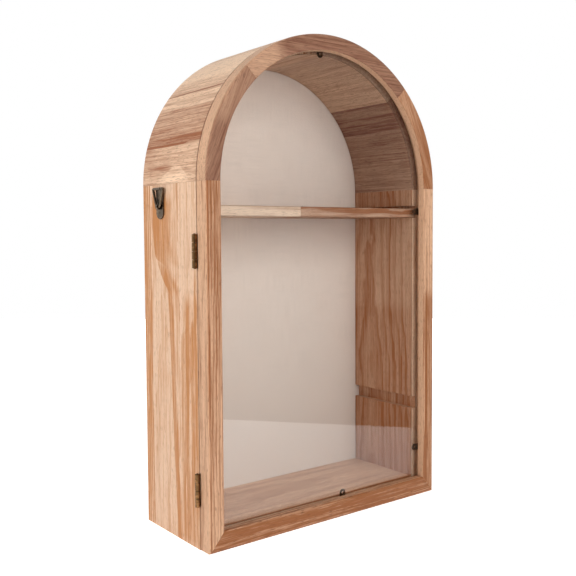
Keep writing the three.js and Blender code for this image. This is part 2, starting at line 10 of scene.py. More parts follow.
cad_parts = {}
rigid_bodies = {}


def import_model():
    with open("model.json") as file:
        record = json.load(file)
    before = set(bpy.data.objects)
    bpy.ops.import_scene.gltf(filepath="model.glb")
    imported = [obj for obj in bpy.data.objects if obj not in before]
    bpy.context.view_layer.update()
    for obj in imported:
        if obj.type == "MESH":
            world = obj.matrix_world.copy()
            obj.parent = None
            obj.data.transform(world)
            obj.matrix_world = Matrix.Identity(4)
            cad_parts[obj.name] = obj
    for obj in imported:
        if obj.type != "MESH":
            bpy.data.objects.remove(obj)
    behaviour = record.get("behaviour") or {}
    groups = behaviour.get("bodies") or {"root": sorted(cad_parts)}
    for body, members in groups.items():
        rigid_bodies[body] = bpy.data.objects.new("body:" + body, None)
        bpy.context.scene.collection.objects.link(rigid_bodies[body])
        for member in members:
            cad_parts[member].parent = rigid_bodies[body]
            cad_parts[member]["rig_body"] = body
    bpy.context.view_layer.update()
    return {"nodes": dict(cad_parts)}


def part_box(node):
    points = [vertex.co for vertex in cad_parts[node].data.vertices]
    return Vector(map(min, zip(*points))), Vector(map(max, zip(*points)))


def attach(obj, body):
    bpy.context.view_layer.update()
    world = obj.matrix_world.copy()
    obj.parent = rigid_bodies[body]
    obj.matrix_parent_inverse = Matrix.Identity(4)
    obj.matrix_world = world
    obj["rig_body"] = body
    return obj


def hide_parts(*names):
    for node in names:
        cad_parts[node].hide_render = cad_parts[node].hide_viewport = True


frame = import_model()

bl_info = {
    "name": "Arched display cabinet",
    "version": (1, 0, 0),
    "blender": (4, 5, 0),
    "location": "View3D > Sidebar > Cabinet",
    "description": "Finishes an arched wooden display cabinet with a glazed door",
    "category": "Add Mesh",
}

# Lengths are metres, and patterns on wood and cloth are written in millimetres
MM = 0.001


def nodes_named(start):
    """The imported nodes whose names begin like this, in order."""
    return sorted(name for name in frame["nodes"] if name.startswith(start))


def centre_of(node, y=None):
    """The middle of a node's box, with another y if one is given."""
    low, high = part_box(node)
    centre = (low + high) / 2
    if y is not None:
        centre.y = y
    return centre


def half_width(node):
    low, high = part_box(node)
    return (high.x - low.x) / 2


# Planes and radii that the pieces are built from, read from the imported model
OUTER = -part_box("side_panel_left")[0].x
INNER = -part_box("side_panel_left")[1].x
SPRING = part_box("arch_stave_06")[1].z - OUTER
CASE_FRONT, CASE_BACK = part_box("side_panel_left")[0].y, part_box("side_panel_left")[1].y
CASE_MIDDLE = (CASE_FRONT + CASE_BACK) / 2
FLOOR_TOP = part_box("bottom_board")[1].z
DOOR_FRONT, DOOR_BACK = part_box("door_rail_bottom")[0].y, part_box("door_rail_bottom")[1].y
DOOR_BOTTOM, RAIL_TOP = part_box("door_rail_bottom")[0].z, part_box("door_rail_bottom")[1].z
OPENING = -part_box("door_stile_left")[1].x
GLASS_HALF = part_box("glass_pane")[1].x
GLASS_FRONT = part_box("glass_pane")[0].y
BOARD_HALF, BOARD_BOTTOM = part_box("back_board")[1].x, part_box("back_board")[0].z
STAVES = nodes_named("arch_stave_")

# Joints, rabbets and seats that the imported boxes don't show
BOARD_CLEARANCE = 0.3 * MM
GLASS_CLEARANCE = 0.4 * MM
LEDGE_CLEARANCE = 0.2 * MM
DISC_CLEARANCE = 0.2 * MM
RABBET = BOARD_HALF + BOARD_CLEARANCE - INNER
RABBET_ROUND = 0.2 * MM
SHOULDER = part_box("backing_linen")[0].y - LEDGE_CLEARANCE
LIP_BACK = GLASS_FRONT - LEDGE_CLEARANCE
GROOVE_DEPTH = 5 * MM
GROOVE_WIDTH = 11 * MM
UPPER_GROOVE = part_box("shelf_board_left")[0].z - LEDGE_CLEARANCE
LOWER_GROOVE = 77.5 * MM
DOOR_JOINT = math.radians(46)
HAIRLINE = 0.05 * MM
# How far from the gap of case and door the painted shade of its faces reaches
SEAM_SHADE_REACH = 0.8 * MM

# How finely arcs and circles are made, how steep a sharp edge is, how near two places count as the
# same, as close or as flush, and how far a piece that is cut out or joined on overlaps
ARC_STEP = math.radians(1.25)
ARCH_SIDES = 144
BARREL_SIDES = 40
DISC_SIDES = 48
SCREW_SIDES = 24
SHARP = math.radians(50)
SAME = 0.001 * MM
CLOSE = 0.01 * MM
FLUSH = 0.02 * MM
OVERLAP = 1 * MM

# The radius of a round end's corners as a share of its half width, so that they don't quite meet
ROUND_END = 0.98

# The two sides by name and by the sign of x
SIDES = (("left", -1), ("right", 1))


def shown(red, green, blue):
    """The linear colour that is displayed as these values from 0 to 255."""
    def linear(value):
        value /= 255
        return value / 12.92 if value <= 0.04045 else ((value + 0.055) / 1.055) ** 2.4
    return linear(red), linear(green), linear(blue)


def darker(colour, share):
    return [share * value for value in colour]


def colour_property(name, description, *shade):
    return bpy.props.FloatVectorProperty(
        name=name, description=description, default=shown(*shade), size=3, min=0, max=1, subtype="COLOR")


def length_property(name, description, default):
    return bpy.props.FloatProperty(
        name=name, description=description, default=default, min=0, subtype="DISTANCE", unit="LENGTH")


def angle_property(name, description, degrees):
    return bpy.props.FloatProperty(
        name=name, description=description, default=math.radians(degrees), subtype="ANGLE", unit="ROTATION")


def light_property(name, description, default):
    return bpy.props.FloatProperty(name=name, description=description, default=default, min=0)


class CabinetWood(bpy.types.PropertyGroup):
    """Colours and edges of the wooden pieces."""

    side_pale: colour_property("Side, pale", "Early wood of the side panels", 232, 196, 166)
    side_golden: colour_property("Side, golden", "Late wood of the left panel", 190, 126, 72)
    side_brown: colour_property("Side, brown", "Late wood of the right panel and the floor", 172, 108, 66)
    arch_pale: colour_property("Arch, pale", "Early wood of the arch's staves", 247, 211, 178)
    arch_brown: colour_property("Arch, brown", "Late wood of the staves on the left", 150, 90, 56)
    arch_dull: colour_property("Arch, dull", "Late wood of the staves on the right", 126, 80, 64)
    door_pale: colour_property("Door, pale", "Early wood of the door's frame", 216, 172, 138)
    door_golden: colour_property("Door, golden", "Late wood of stiles, rail and right arch", 146, 88, 48)
    door_brown: colour_property("Door, brown", "Late wood of the left and top arch", 118, 72, 52)
    shelf_pale: colour_property("Shelf, pale", "Early wood of the shelf", 230, 202, 178)
    shelf_brown: colour_property("Shelf, brown", "Late wood of the shelf", 150, 94, 60)
    back_pale: colour_property("Back, pale", "Face veneer of the back board", 216, 190, 158)
    back_brown: colour_property("Back, brown", "Figure of the back board's veneer", 172, 136, 100)
    arris: length_property("Arris", "Radius of the softened edges of the boards", 0.5 * MM)
    door_outer_round: length_property("Door, outer edge", "Radius of the door's outer edges", 2 * MM)
    door_inner_round: length_property("Door, inner edge", "Radius of the door's inner edges", 1 * MM)


class CabinetFinish(bpy.types.PropertyGroup):
    """Colours and sizes of the cloth, the glass and the metal."""

    linen: colour_property("Linen", "Cloth over the back", 234, 219, 208)
    thread: length_property("Thread pitch", "From one thread of the linen to the next", 0.62 * MM)
    brass: colour_property("Brass", "Aged brass of the hinges", 150, 112, 74)
    bronze: colour_property("Bronze", "Dark metal of hangers and glazing points", 128, 110, 90)
    steel: colour_property("Steel", "Bright metal of brads, magnet and disc", 190, 190, 192)
    gleam: bpy.props.FloatProperty(
        name="Glass gleam", description="Share of light that a face of the glass mirrors head on",
        default=0.036, min=0, max=1, subtype="FACTOR")


class CabinetStage(bpy.types.PropertyGroup):
    """Camera, lamps and floor."""

    camera_place: bpy.props.FloatVectorProperty(
        name="Camera", description="Where the camera stands", default=(-0.43165, -0.55268, 0.24026),
        size=3, subtype="TRANSLATION", unit="LENGTH")
    camera_pitch: angle_property("Camera pitch", "Upwards from level", -3.255)
    camera_yaw: angle_property("Camera yaw", "Anticlockwise from straight ahead", -37.649)
    camera_roll: angle_property("Camera roll", "Anticlockwise about the view", -0.344)
    lens: bpy.props.FloatProperty(
        name="Lens", description="Focal length in millimetres on a 36 mm sensor", default=50.405, min=1)
    camera_shift: bpy.props.FloatVectorProperty(
        name="Camera shift", description="How far the picture's middle lies off the lens's axis",
        default=(-0.00595, -0.01608), size=2)
    left_power: light_property("Left lamp", "Power of the softbox on the left", 18)
    front_power: light_property("Front lamp", "Power of the softbox in front", 19)
    right_power: light_property("Right lamp", "Power of the softbox on the right", 6)
    back_power: light_property("Back lamp", "Power of the softbox behind", 12)
    room_light: light_property("Room light", "Even light from all round", 0.08)
    floor_glow: light_property("Floor glow", "Keeps the white paper white around the shadow", 0.85)
    floor_edge: bpy.props.FloatVectorProperty(
        name="Floor's edge", description="A point on the right-hand edge of the white paper",
        default=(0.2371, -0.2702, 0), size=3, subtype="TRANSLATION", unit="LENGTH")
    floor_turn: angle_property("Floor's turn", "From +X to the paper's edge", 49.8)


# Shader nodes

WHITE = (1, 1, 1, 1)


class Term:
    """One output of a node. Python's operators on it add Math nodes."""

    def __init__(self, recipe, socket):
        self.recipe = recipe
        self.socket = socket

    def math(self, operation, *values):
        return self.recipe.node("ShaderNodeMath", {"operation": operation}, dict(enumerate(values)))

    def __add__(self, other):
        return self.math("ADD", self, other)

    def __sub__(self, other):
        return self.math("SUBTRACT", self, other)

    def __rsub__(self, other):
        return self.math("SUBTRACT", other, self)

    def __mul__(self, other):
        return self.math("MULTIPLY", self, other)

    def __truediv__(self, other):
        return self.math("DIVIDE", self, other)

    def __pow__(self, other):
        return self.math("POWER", self, other)

    __radd__ = __add__
    __rmul__ = __mul__

    def floor(self):
        return self.math("FLOOR", self)

    def fract(self):
        return self.math("FRACT", self)

    def sine(self):
        return self.math("SINE", self)

    def step(self, low, high):
        """0 below low, 1 above high, and smooth between them."""
        return self.recipe.node(
            "ShaderNodeMapRange", {"interpolation_type": "SMOOTHSTEP", "clamp": True},
            {"Value": self, "From Min": low, "From Max": high, "To Min": 0, "To Max": 1})


class Recipe:
    """A material, or the world, that is written node by node."""

    def __init__(self, owner):
        self.owner = owner
        owner.use_nodes = True
        self.tree = owner.node_tree
        self.tree.nodes.clear()

    def node(self, kind, settings=None, inputs=None, output=0):
        """Adds a node, sets it up, plugs values or terms in and returns one output as a term."""
        node = self.tree.nodes.new(kind)
        for name, value in (settings or {}).items():
            if name == "points":
                self.draw_curve(node.mapping, value)
            else:
                setattr(node, name, value)
        for key, value in (inputs or {}).items():
            if isinstance(value, Term):
                self.tree.links.new(value.socket, node.inputs[key])
            else:
                node.inputs[key].default_value = value
        return Term(self, node.outputs[output]) if len(node.outputs) else None

    @staticmethod
    def draw_curve(mapping, points):
        curve = mapping.curves[0]
        curve.points[0].location, curve.points[-1].location = points[0], points[-1]
        for point in points[1:-1]:
            curve.points.new(*point)
        mapping.update()

    def attribute(self, name, output="Fac"):
        return self.node("ShaderNodeAttribute", {"attribute_name": name}, output=output)

    def split(self, vector):
        node = self.node("ShaderNodeSeparateXYZ", inputs={"Vector": vector}).socket.node
        return [Term(self, socket) for socket in node.outputs]

    def place(self):
        """The point's place on the object, in millimetres along X, Y and Z."""
        return [part * (1 / MM) for part in self.split(self.node("ShaderNodeTexCoord", output="Object"))]

    def noise(self, x, y, z, detail=2.0, roughness=0.5):
        """Cloudy noise from 0 to 1 about a half. One unit is a cloud, so x / 20 makes them 20 mm long."""
        place = self.node("ShaderNodeCombineXYZ", inputs={"X": x, "Y": y, "Z": z})
        return self.node(
            "ShaderNodeTexNoise", {"noise_dimensions": "3D"},
            {"Vector": place, "Scale": 1, "Detail": detail, "Roughness": roughness})

    def chance(self, value):
        """A fixed random number for each whole value."""
        return self.node("ShaderNodeTexWhiteNoise", {"noise_dimensions": "1D"}, {"W": value})

    def course(self, value, points):
        """A smooth line through a few points of length along a board and place across it."""
        (start, _), (end, _) = points[0], points[-1]
        low = min(place for _, place in points)
        spread = max(max(place for _, place in points) - low, 1)
        drawn = [((length - start) / (end - start), (place - low) / spread) for length, place in points]
        ratio = (value - start) / (end - start)
        return self.node("ShaderNodeFloatCurve", {"points": drawn}, {"Value": ratio}) * spread + low

    def blend(self, factor, first, second):
        """Mixes two colours. Constant ones are given as three numbers."""
        def filled(colour):
            return colour if isinstance(colour, Term) else (*colour, 1)
        return self.node(
            "ShaderNodeMix", {"data_type": "RGBA", "clamp_factor": True},
            {0: factor, 6: filled(first), 7: filled(second)}, output=2)

    def surface(self, colour, roughness, height, relief, depth, **constants):
        """Ends the recipe in a Principled shader with a bump of the given height."""
        normal = self.node(
            "ShaderNodeBump", inputs={"Strength": relief, "Distance": depth, "Height": height})
        values = {"Base Color": colour, "Roughness": roughness, "Normal": normal}
        values.update({name.replace("_", " "): value for name, value in constants.items()})
        return self.finish(self.node("ShaderNodeBsdfPrincipled", inputs=values))

    def finish(self, shader):
        kind = "World" if isinstance(self.owner, bpy.types.World) else "Material"
        self.node(f"ShaderNodeOutput{kind}", inputs={"Surface": shader})
        return self.owner


def new_recipe(name):
    return Recipe(bpy.data.materials.new(name))


# How a board was sawn from its log, in millimetres of the board's own frame: x along the grain, y
# across its face and z out of it. The pith is the log's heart and lean is how it drifts along x.
# Tone is how brown the broad faces are, and edge how brown the narrow ones are. Ring is how far one
# ring is from the next, and wander how far the rings stray. Late, streak, cloud and pore are how
# strongly the late wood, the fine streaks, the clouds of tone and the open pores show.
Figure = namedtuple(
    "Figure", "tone edge ring pith lean wander late streak cloud pore marks",
    defaults=(0.1, 0.2, 4.5, (0, -40), (0.0, 0.0), 6.0, 0.5, 0.5, 0.3, 0.5, ()))

# A darker band along a board's broad faces, or a paler one if its depth is negative: the places
# across the board that it passes through, how far it reaches to either side of them, where its outer
# half is soft, how dark it is and how much it sways
Mark = namedtuple("Mark", "course rise fall depth sway", defaults=(2.0,))

# How far a mark reaches that covers every board, and how far a mark's ends fade to either side
WHOLE_WIDTH = 200
FADE = 8


def whole_width(start, end, depth):
    """Darkens or pales a stretch of a board's length over its whole width."""
    return Mark(((start, 0), (end, 0)), WHOLE_WIDTH, WHOLE_WIDTH, depth)


def wood(name, pale, brown, figure, seed):
    """Oiled, open-grained wood, solid through the board, so that end grain and faces agree."""
    m = new_recipe(name)
    x, y, z = m.split(m.attribute("grain", "Vector"))
    narrow, end_grain, seam = (m.attribute(layer) for layer in ("narrow", "end_grain", "seam"))
    # The log's rings, with a slow drift and a small ripple, and the late wood at the end of each
    drift = m.noise(x / 170 + seed, y / 90, z / 90)
    heave = m.noise(x / 150 + seed + 31, y / 90, z / 90)
    swing = 2 * figure.wander
    across = y - figure.pith[0] + x * figure.lean[0] + (drift - 0.5) * swing
    deep = z - figure.pith[1] + x * figure.lean[1] + (heave - 0.5) * swing
    ripple = m.noise(x / 26, y / 7 + seed, z / 7)
    age = (across * across + deep * deep) ** 0.5 / figure.ring + (ripple - 0.5) * 0.9
    season = age.fract()
    late = season.step(0.3, 0.86) * (1 - season.step(0.9, 1)) * (0.3 + 0.7 * m.chance(age.floor() + seed))
    # Fibres, longer lines, soft clouds of tone and open pores along the grain
    fibre = m.noise(x / 20, y / 0.75, z / 0.75 + seed, 2, 0.6)
    line = m.noise(x / 80 + seed, y / 1.7, z / 1.7, 3, 0.62).step(0.4, 0.64)
    mottle = m.noise(x / 110, y / 22 + seed, z / 22, 2, 0.5)
    pore = m.noise(x / 6, y / 0.5, z / 0.5 + seed, 1).step(0.57, 0.68)
    # How brown each point is, with this board's own marks
    shade = figure.tone + narrow * (figure.edge - figure.tone) + late * figure.late
    shade = shade + (line - 0.5) * (0.5 * figure.streak) + (fibre - 0.5) * figure.streak
    shade = shade + (mottle - 0.5) * (2 * figure.cloud)
    for mark in figure.marks:
        (start, _), (end, _) = mark.course[0], mark.course[-1]
        place = y - m.course(x, mark.course) + (ripple - 0.5) * mark.sway
        band = place.step(-mark.rise, -0.5 * mark.rise) * (1 - place.step(0.5 * mark.fall, mark.fall))
        span = x.step(start - FADE, start + FADE) * (1 - x.step(end - FADE, end + FADE)) * (1 - narrow)
        shade = shade + band * span * mark.depth
    # The pores and end grain are darker; faces beside the gap of case and door get painted shade
    colour = m.blend(shade, pale, brown)
    colour = m.blend(pore * figure.pore * (1 - late * 0.6), colour, darker(brown, 0.5))
    colour = m.blend(end_grain * 0.3, colour, darker(brown, 0.62))
    colour = m.blend(seam * 0.5, colour, darker(brown, 0.4))
    height = (1 - pore) * 0.7 + fibre * 0.25 - late * 0.12
    roughness = 0.56 + (fibre - 0.5) * 0.16 - late * 0.06
    return m.surface(colour, roughness, height, 0.35, 0.12 * MM, Specular_IOR_Level=0.35)


def linen_cloth(colour, pitch):
    """Plain weave with uneven threads, and painted shade towards the floor."""
    m = new_recipe("linen_cloth")
    x, _, z = m.place()
    turn = math.pi / (pitch / MM)
    warp = (x * turn + (m.noise(x / 3, z / 40, 1) - 0.5) * 1.6).sine()
    weft = (z * turn + (m.noise(x / 40, z / 3, 2) - 0.5) * 1.6).sine()
    weave = warp * weft * 0.5 + 0.5
    slub_up = m.noise(x / 0.9, z / 26, 3, 2).step(0.42, 0.75)
    slub_over = m.noise(x / 26, z / 0.9, 4, 2).step(0.42, 0.75)
    mottle = m.noise(x / 30, z / 30, 5, 2)
    # Painted shade: the cloth darkens towards the floor, most below 20 mm and not at all above 190 mm
    painted_low_shade = 1 - z.step(20, 190)
    cream = m.blend(painted_low_shade, colour, darker(colour, 0.82))
    cream = m.blend((slub_up + slub_over) * 0.35, cream, darker(colour, 0.8))
    cream = m.blend((mottle - 0.4) * 0.5, cream, (0.93 * colour[0], 0.9 * colour[1], 0.87 * colour[2]))
    cream = m.blend((1 - weave) * 0.25, cream, darker(colour, 0.8))
    height = weave * 0.8 + (slub_up + slub_over) * 0.3
    return m.surface(cream, 0.92, height, 0.4, 0.15 * MM, Specular_IOR_Level=0.2, Sheen_Weight=0.15)


def old_metal(name, colour, polish, wear):
    """Metal that has darkened unevenly, brighter where it is rubbed."""
    m = new_recipe(name)
    x, y, z = m.place()
    patina = m.noise(x / 3.5, y / 3.5, z / 3.5, 3, 0.6)
    grit = m.noise(x / 0.35, y / 0.35, z / 0.35, 2)
    rubbed = [min(1, 1.35 * value) for value in colour]
    tint = m.blend(patina.step(0.48, 0.68) * wear, darker(colour, 0.55), rubbed)
    tint = m.blend(grit.step(0.55, 0.7) * 0.4, tint, darker(colour, 0.5))
    roughness = polish + (patina - 0.5) * 0.25 + (grit - 0.5) * 0.1
    return m.surface(tint, roughness, grit + patina, 0.12, 0.05 * MM, Metallic=1.0)


def clear_glass(gleam):
    """A clear pane: it lets light straight through and mirrors more at a glancing angle."""
    m = new_recipe("clear_glass")
    facing = m.node("ShaderNodeLayerWeight", inputs={"Blend": 0.5}, output="Facing")
    mirror = facing ** 5 * (1 - gleam) + gleam
    clear = m.node("ShaderNodeBsdfTransparent", inputs={"Color": (0.985, 0.99, 0.988, 1)})
    gloss = m.node("ShaderNodeBsdfGlossy", inputs={"Color": WHITE, "Roughness": 0.0})
    return m.finish(m.node("ShaderNodeMixShader", inputs={0: mirror, 1: clear, 2: gloss}))


# Modelling


def select_only(piece):
    bpy.ops.object.select_all(action="DESELECT")
    piece.select_set(True)
    bpy.context.view_layer.objects.active = piece


@contextmanager
def editing(piece, kind="EDGE", action="DESELECT"):
    """Edit mode on one piece, with nothing selected to begin with, or all of it."""
    select_only(piece)
    bpy.ops.object.mode_set(mode="EDIT")
    bpy.ops.mesh.select_mode(type=kind)
    bpy.ops.mesh.select_all(action=action)
    yield bmesh.from_edit_mesh(piece.data)
    bpy.ops.object.mode_set(mode="OBJECT")


def settle(piece):
    """Puts a piece's place, turn and scale into its mesh."""
    select_only(piece)
    bpy.ops.object.transform_apply(location=True, rotation=True, scale=True)
    return piece


def moved(piece, matrix):
    piece.matrix_world = matrix
    return settle(piece)


def turn_y(angle):
    """A turn in the XZ plane from +X towards +Z."""
    return Matrix.Rotation(-angle, 4, "Y")


def aimed(axis, place=(0, 0, 0)):
    """Takes +Z to an axis and the origin to a place."""
    turn = Vector((0, 0, 1)).rotation_difference(Vector(axis)).to_matrix().to_4x4()
    return Matrix.Translation(Vector(place)) @ turn


def copy_piece(piece, name):
    twin = bpy.data.objects.new(name, piece.data.copy())
    bpy.context.collection.objects.link(twin)
    return twin


def remove(piece):
    bpy.data.objects.remove(piece, do_unlink=True)


def mend(piece):
    """Merges doubles and turns all faces outwards."""
    with editing(piece, "FACE", "SELECT"):
        bpy.ops.mesh.remove_doubles(threshold=SAME)
        bpy.ops.mesh.normals_make_consistent(inside=False)
    return piece


def apply_modifier(piece, kind, **settings):
    select_only(piece)
    modifier = piece.modifiers.new(kind.title(), kind)
    for name, value in settings.items():
        setattr(modifier, name, value)
    bpy.ops.object.modifier_apply(modifier=modifier.name)
    return piece


def carve(piece, *cutters, operation="DIFFERENCE"):
    """Cuts each cutter out of a piece, or joins it on, and deletes the cutter."""
    for cutter in cutters:
        apply_modifier(piece, "BOOLEAN", operation=operation, solver="EXACT", object=cutter)
        remove(cutter)
    return piece


def slice_off(piece, point, normal):
    """Cuts away what lies on the side that the normal points to, and closes the cut."""
    with editing(piece, "VERT", "SELECT"):
        bpy.ops.mesh.bisect(plane_co=point, plane_no=normal, use_fill=True, clear_outer=True)
    return piece


def round_edges(piece, radius, segments, wanted):
    """Rounds the sharp outer edges that wanted picks by their two ends."""
    with editing(piece) as cage:
        for edge in cage.edges:
            sharp = edge.is_manifold and edge.is_convex and edge.calc_face_angle() > SHARP
            edge.select_set(bool(sharp and wanted(*(vertex.co for vertex in edge.verts))))
        bmesh.update_edit_mesh(piece.data)
        bpy.ops.mesh.bevel(offset=radius, segments=segments, affect="EDGES")
    return piece


def smooth(piece, angle=38):
    """Smooth shading that keeps broad faces flat and corners sharp."""
    select_only(piece)
    bpy.ops.object.shade_smooth_by_angle(angle=math.radians(angle))
    return apply_modifier(piece, "WEIGHTED_NORMAL", keep_sharp=True)


def primitive(name, add, **settings):
    """The piece that one of Blender's operators for primitives adds."""
    bpy.ops.object.select_all(action="DESELECT")
    add(**settings)
    piece = bpy.context.object
    piece.name = name
    return piece


def extrude(x=0, y=0, z=0):
    """Draws out what is selected in edit mode."""
    bpy.ops.mesh.extrude_region_move(TRANSFORM_OT_translate={"value": (x, y, z)})


def add_block(name, low, high):
    """A box between two corners."""
    low, high = Vector(low), Vector(high)
    piece = primitive(name, bpy.ops.mesh.primitive_cube_add, size=1, location=(low + high) / 2)
    piece.scale = high - low
    return settle(piece)


def rod_rings(radius, bottom, top, worn):
    """Rings of a rod whose ends are worn round."""
    return (radius - worn, bottom), (radius, bottom + worn), (radius, top - worn), (radius - worn, top)


def turned(name, rings, sides=32):
    """A lathe-turned body along +Z from rings of radius and height."""
    radius, height = rings[0]
    piece = settle(primitive(
        name, bpy.ops.mesh.primitive_circle_add, vertices=sides, radius=radius, fill_type="NGON",
        location=(0, 0, height)))
    with editing(piece, "FACE", "SELECT"):
        for (radius, height), (next_radius, next_height) in zip(rings, rings[1:]):
            extrude(z=next_height - height)
            grow = next_radius / radius
            bpy.ops.transform.resize(value=(grow, grow, 1), center_override=(0, 0, next_height))
    return mend(piece)


def round_corners(piece, rounds):
    """Rounds corners of a flat face or a bent line, given as a point, a radius and a count of steps."""
    for corner, radius, steps in rounds:
        with editing(piece, "VERT") as cage:
            for vertex in cage.verts:
                vertex.select_set((vertex.co - Vector(corner)).length < CLOSE)
            bpy.ops.mesh.bevel(offset=radius, offset_type="ABSOLUTE", segments=steps, affect="VERTICES")
    return piece


def outline(name, low, high, rounds, notch=None):
    """A flat face in X and Y with rounded corners. A notch at (x, y) takes away the corner of low x
    and high y."""
    middle = ((low[0] + high[0]) / 2, (low[1] + high[1]) / 2, 0)
    piece = primitive(name, bpy.ops.mesh.primitive_plane_add, size=1, location=middle)
    piece.scale = (high[0] - low[0], high[1] - low[1], 1)
    settle(piece)
    if notch:
        with editing(piece, "FACE"):
            for normal in ((1, 0, 0), (0, 1, 0)):
                bpy.ops.mesh.select_all(action="SELECT")
                bpy.ops.mesh.bisect(plane_co=(*notch, 0), plane_no=normal)
            bpy.ops.mesh.select_all(action="DESELECT")
            for face in bmesh.from_edit_mesh(piece.data).faces:
                centre = face.calc_center_median()
                face.select_set(centre.x < notch[0] and centre.y > notch[1])
            bpy.ops.mesh.delete(type="FACE")
            bpy.ops.mesh.select_all(action="SELECT")
            bpy.ops.mesh.dissolve_limited(angle_limit=math.radians(1))
    return round_corners(piece, rounds)


def section(name, inner, outer, rounds, notch):
    """The cross section of a case board or a door member: x runs from its inner to its outer face.
    Rounds are the radii at inner front, outer front, outer back, inner back and the notch's lip."""
    front, back = (DOOR_FRONT, DOOR_BACK) if notch[1] < CASE_FRONT else (CASE_FRONT, CASE_BACK)
    corners = (
        (inner, front, 0), (outer, front, 0), (outer, back, 0), (notch[0], back, 0), (inner, notch[1], 0))
    steps = [max(2, round(3 * radius / MM)) for radius in rounds]
    return outline(name, (inner, front), (outer, back), list(zip(corners, rounds, steps)), notch)


def case_section(name, inner, outer, rabbet, arris):
    """The cross section of a case board, with the rabbet for the back at its inner face."""
    rounds = (arris, arris, arris, RABBET_ROUND, RABBET_ROUND)
    return section(name, inner, outer, rounds, (inner + rabbet, SHOULDER))


def drawn_out(piece, length):
    """Extrudes a flat face upwards into a bar."""
    with editing(piece, "FACE", "SELECT"):
        extrude(z=length)
    return mend(piece)


def swept(piece, start, end):
    """Spins a flat face about the Y axis from one angle above +X to another."""
    moved(piece, turn_y(start))
    with editing(piece, "FACE", "SELECT"):
        bpy.ops.mesh.spin(
            steps=round((end - start) / ARC_STEP), angle=end - start, center=(0, 0, 0), axis=(0, 1, 0))
    return mend(piece)


def arched_slab(name, half, bottom, front, back):
    """A slab with a half-round top about the spring line."""
    piece = settle(primitive(
        name, bpy.ops.mesh.primitive_circle_add, vertices=ARCH_SIDES, radius=half, fill_type="NGON",
        location=(0, front, SPRING), rotation=(math.pi / 2, 0, 0)))
    with editing(piece, "EDGE", "SELECT"):
        bpy.ops.mesh.bisect(plane_co=(0, 0, SPRING), plane_no=(0, 0, 1), clear_inner=True)
        bpy.ops.mesh.select_all(action="DESELECT")
        for edge in bmesh.from_edit_mesh(piece.data).edges:
            edge.select_set(all(abs(vertex.co.z - SPRING) < SAME for vertex in edge.verts))
        extrude(z=bottom - SPRING)
        bpy.ops.mesh.select_mode(type="FACE")
        bpy.ops.mesh.select_all(action="SELECT")
        bpy.ops.mesh.dissolve_limited(angle_limit=math.radians(0.5))
        bpy.ops.mesh.select_all(action="SELECT")
        extrude(y=back - front)
    return mend(piece)


def lay_grain(piece, origin, along, across):
    """Stores each point's place in the board's own frame. Each face gets how far it is one of the
    narrow ones, how far it shows end grain, and whether it lies beside the gap of case and door, which
    gets painted shade."""
    origin, along, across = Vector(origin), Vector(along).normalized(), Vector(across).normalized()
    outward = along.cross(across)
    mesh = piece.data
    grain = mesh.attributes.new("grain", "FLOAT_VECTOR", "POINT")
    for vertex, value in zip(mesh.vertices, grain.data):
        place = (vertex.co - origin) / MM
        value.vector = (place.dot(along), place.dot(across), place.dot(outward))

    def narrow(face):
        return max(0, 1 - 1.5 * abs(face.normal.dot(outward)))

    def end_grain(face):
        return max(0, abs(face.normal.dot(along)) - 0.5) * 2

    # Faces beside the gap of case and door, which the wood darkens as painted shade
    def seam(face):
        return abs(face.center.y - (CASE_FRONT + DOOR_BACK) / 2) < SEAM_SHADE_REACH and abs(face.normal.y) < 0.98

    for measure in (narrow, end_grain, seam):
        layer = mesh.attributes.new(measure.__name__, "FLOAT", "FACE")
        for face, value in zip(mesh.polygons, layer.data):
            value.value = measure(face)


def hand_over(piece, node, material):
    """Lets a finished piece stand for its node, on the node's body and in its material slot."""
    piece.name = f"{node}_fine"
    piece.data.name = piece.name
    piece.data.materials.clear()
    piece.data.materials.append(material)
    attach(piece, frame["nodes"][node]["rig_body"])
    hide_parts(node)


def place_copy(blank, node, matrix, material):
    """Lets a copy of a blank stand for a node."""
    hand_over(smooth(moved(copy_piece(blank, node), matrix)), node, material)


def on_plane(value, *coordinates):
    """True if all coordinates lie on one plane."""
    return all(abs(coordinate - value) < FLUSH for coordinate in coordinates)


# Sizes of the hinges that their boxes don't show
LEAF_THICKNESS = 0.8 * MM
PIN_RADIUS = 0.95 * MM
KNUCKLES = 4
HINGE_SCREW_SPACING = 13 * MM
SEAT_GAP = 0.25 * MM
SEAT_BEHIND = 0.2 * MM


def hinge_sizes(hinge):
    """The hinge's centre, its half length, its barrel's radius and how far a leaf reaches inwards."""
    pin_low, pin_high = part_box(f"{hinge}_pin")
    leaf_low, leaf_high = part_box(f"{hinge}_case_leaf")
    centre = (pin_low + pin_high) / 2
    return centre, (leaf_high.z - leaf_low.z) / 2, centre.x - leaf_low.x, leaf_high.x - centre.x


def leaf_seats(side):
    """Blocks that cut the hinges' shallow mortises: side is 1 for the case and -1 for the door."""
    seats = []
    for hinge in ("hinge_upper", "hinge_lower"):
        centre, half, barrel, reach = hinge_sizes(hinge)
        plane = CASE_FRONT if side > 0 else DOOR_BACK
        span = sorted((plane - side * OVERLAP, plane + side * (LEAF_THICKNESS + SEAT_BEHIND)))
        low = (centre.x - barrel, span[0], centre.z - half - SEAT_GAP)
        high = (centre.x + reach + SEAT_GAP, span[1], centre.z + half + SEAT_GAP)
        seats.append(add_block("seat", low, high))
    return seats


def disc_seat(node, side):
    """The blind hole for a disc that is let into the case, for side 1, or the door, for side -1."""
    low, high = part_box(node)
    radius = half_width(node) + DISC_CLEARANCE
    seat = turned("seat", ((radius, -OVERLAP), (radius, high.y - low.y + DISC_CLEARANCE)), DISC_SIDES)
    return moved(seat, aimed((0, side, 0), centre_of(node, CASE_FRONT if side > 0 else DOOR_BACK)))


# Wooden pieces


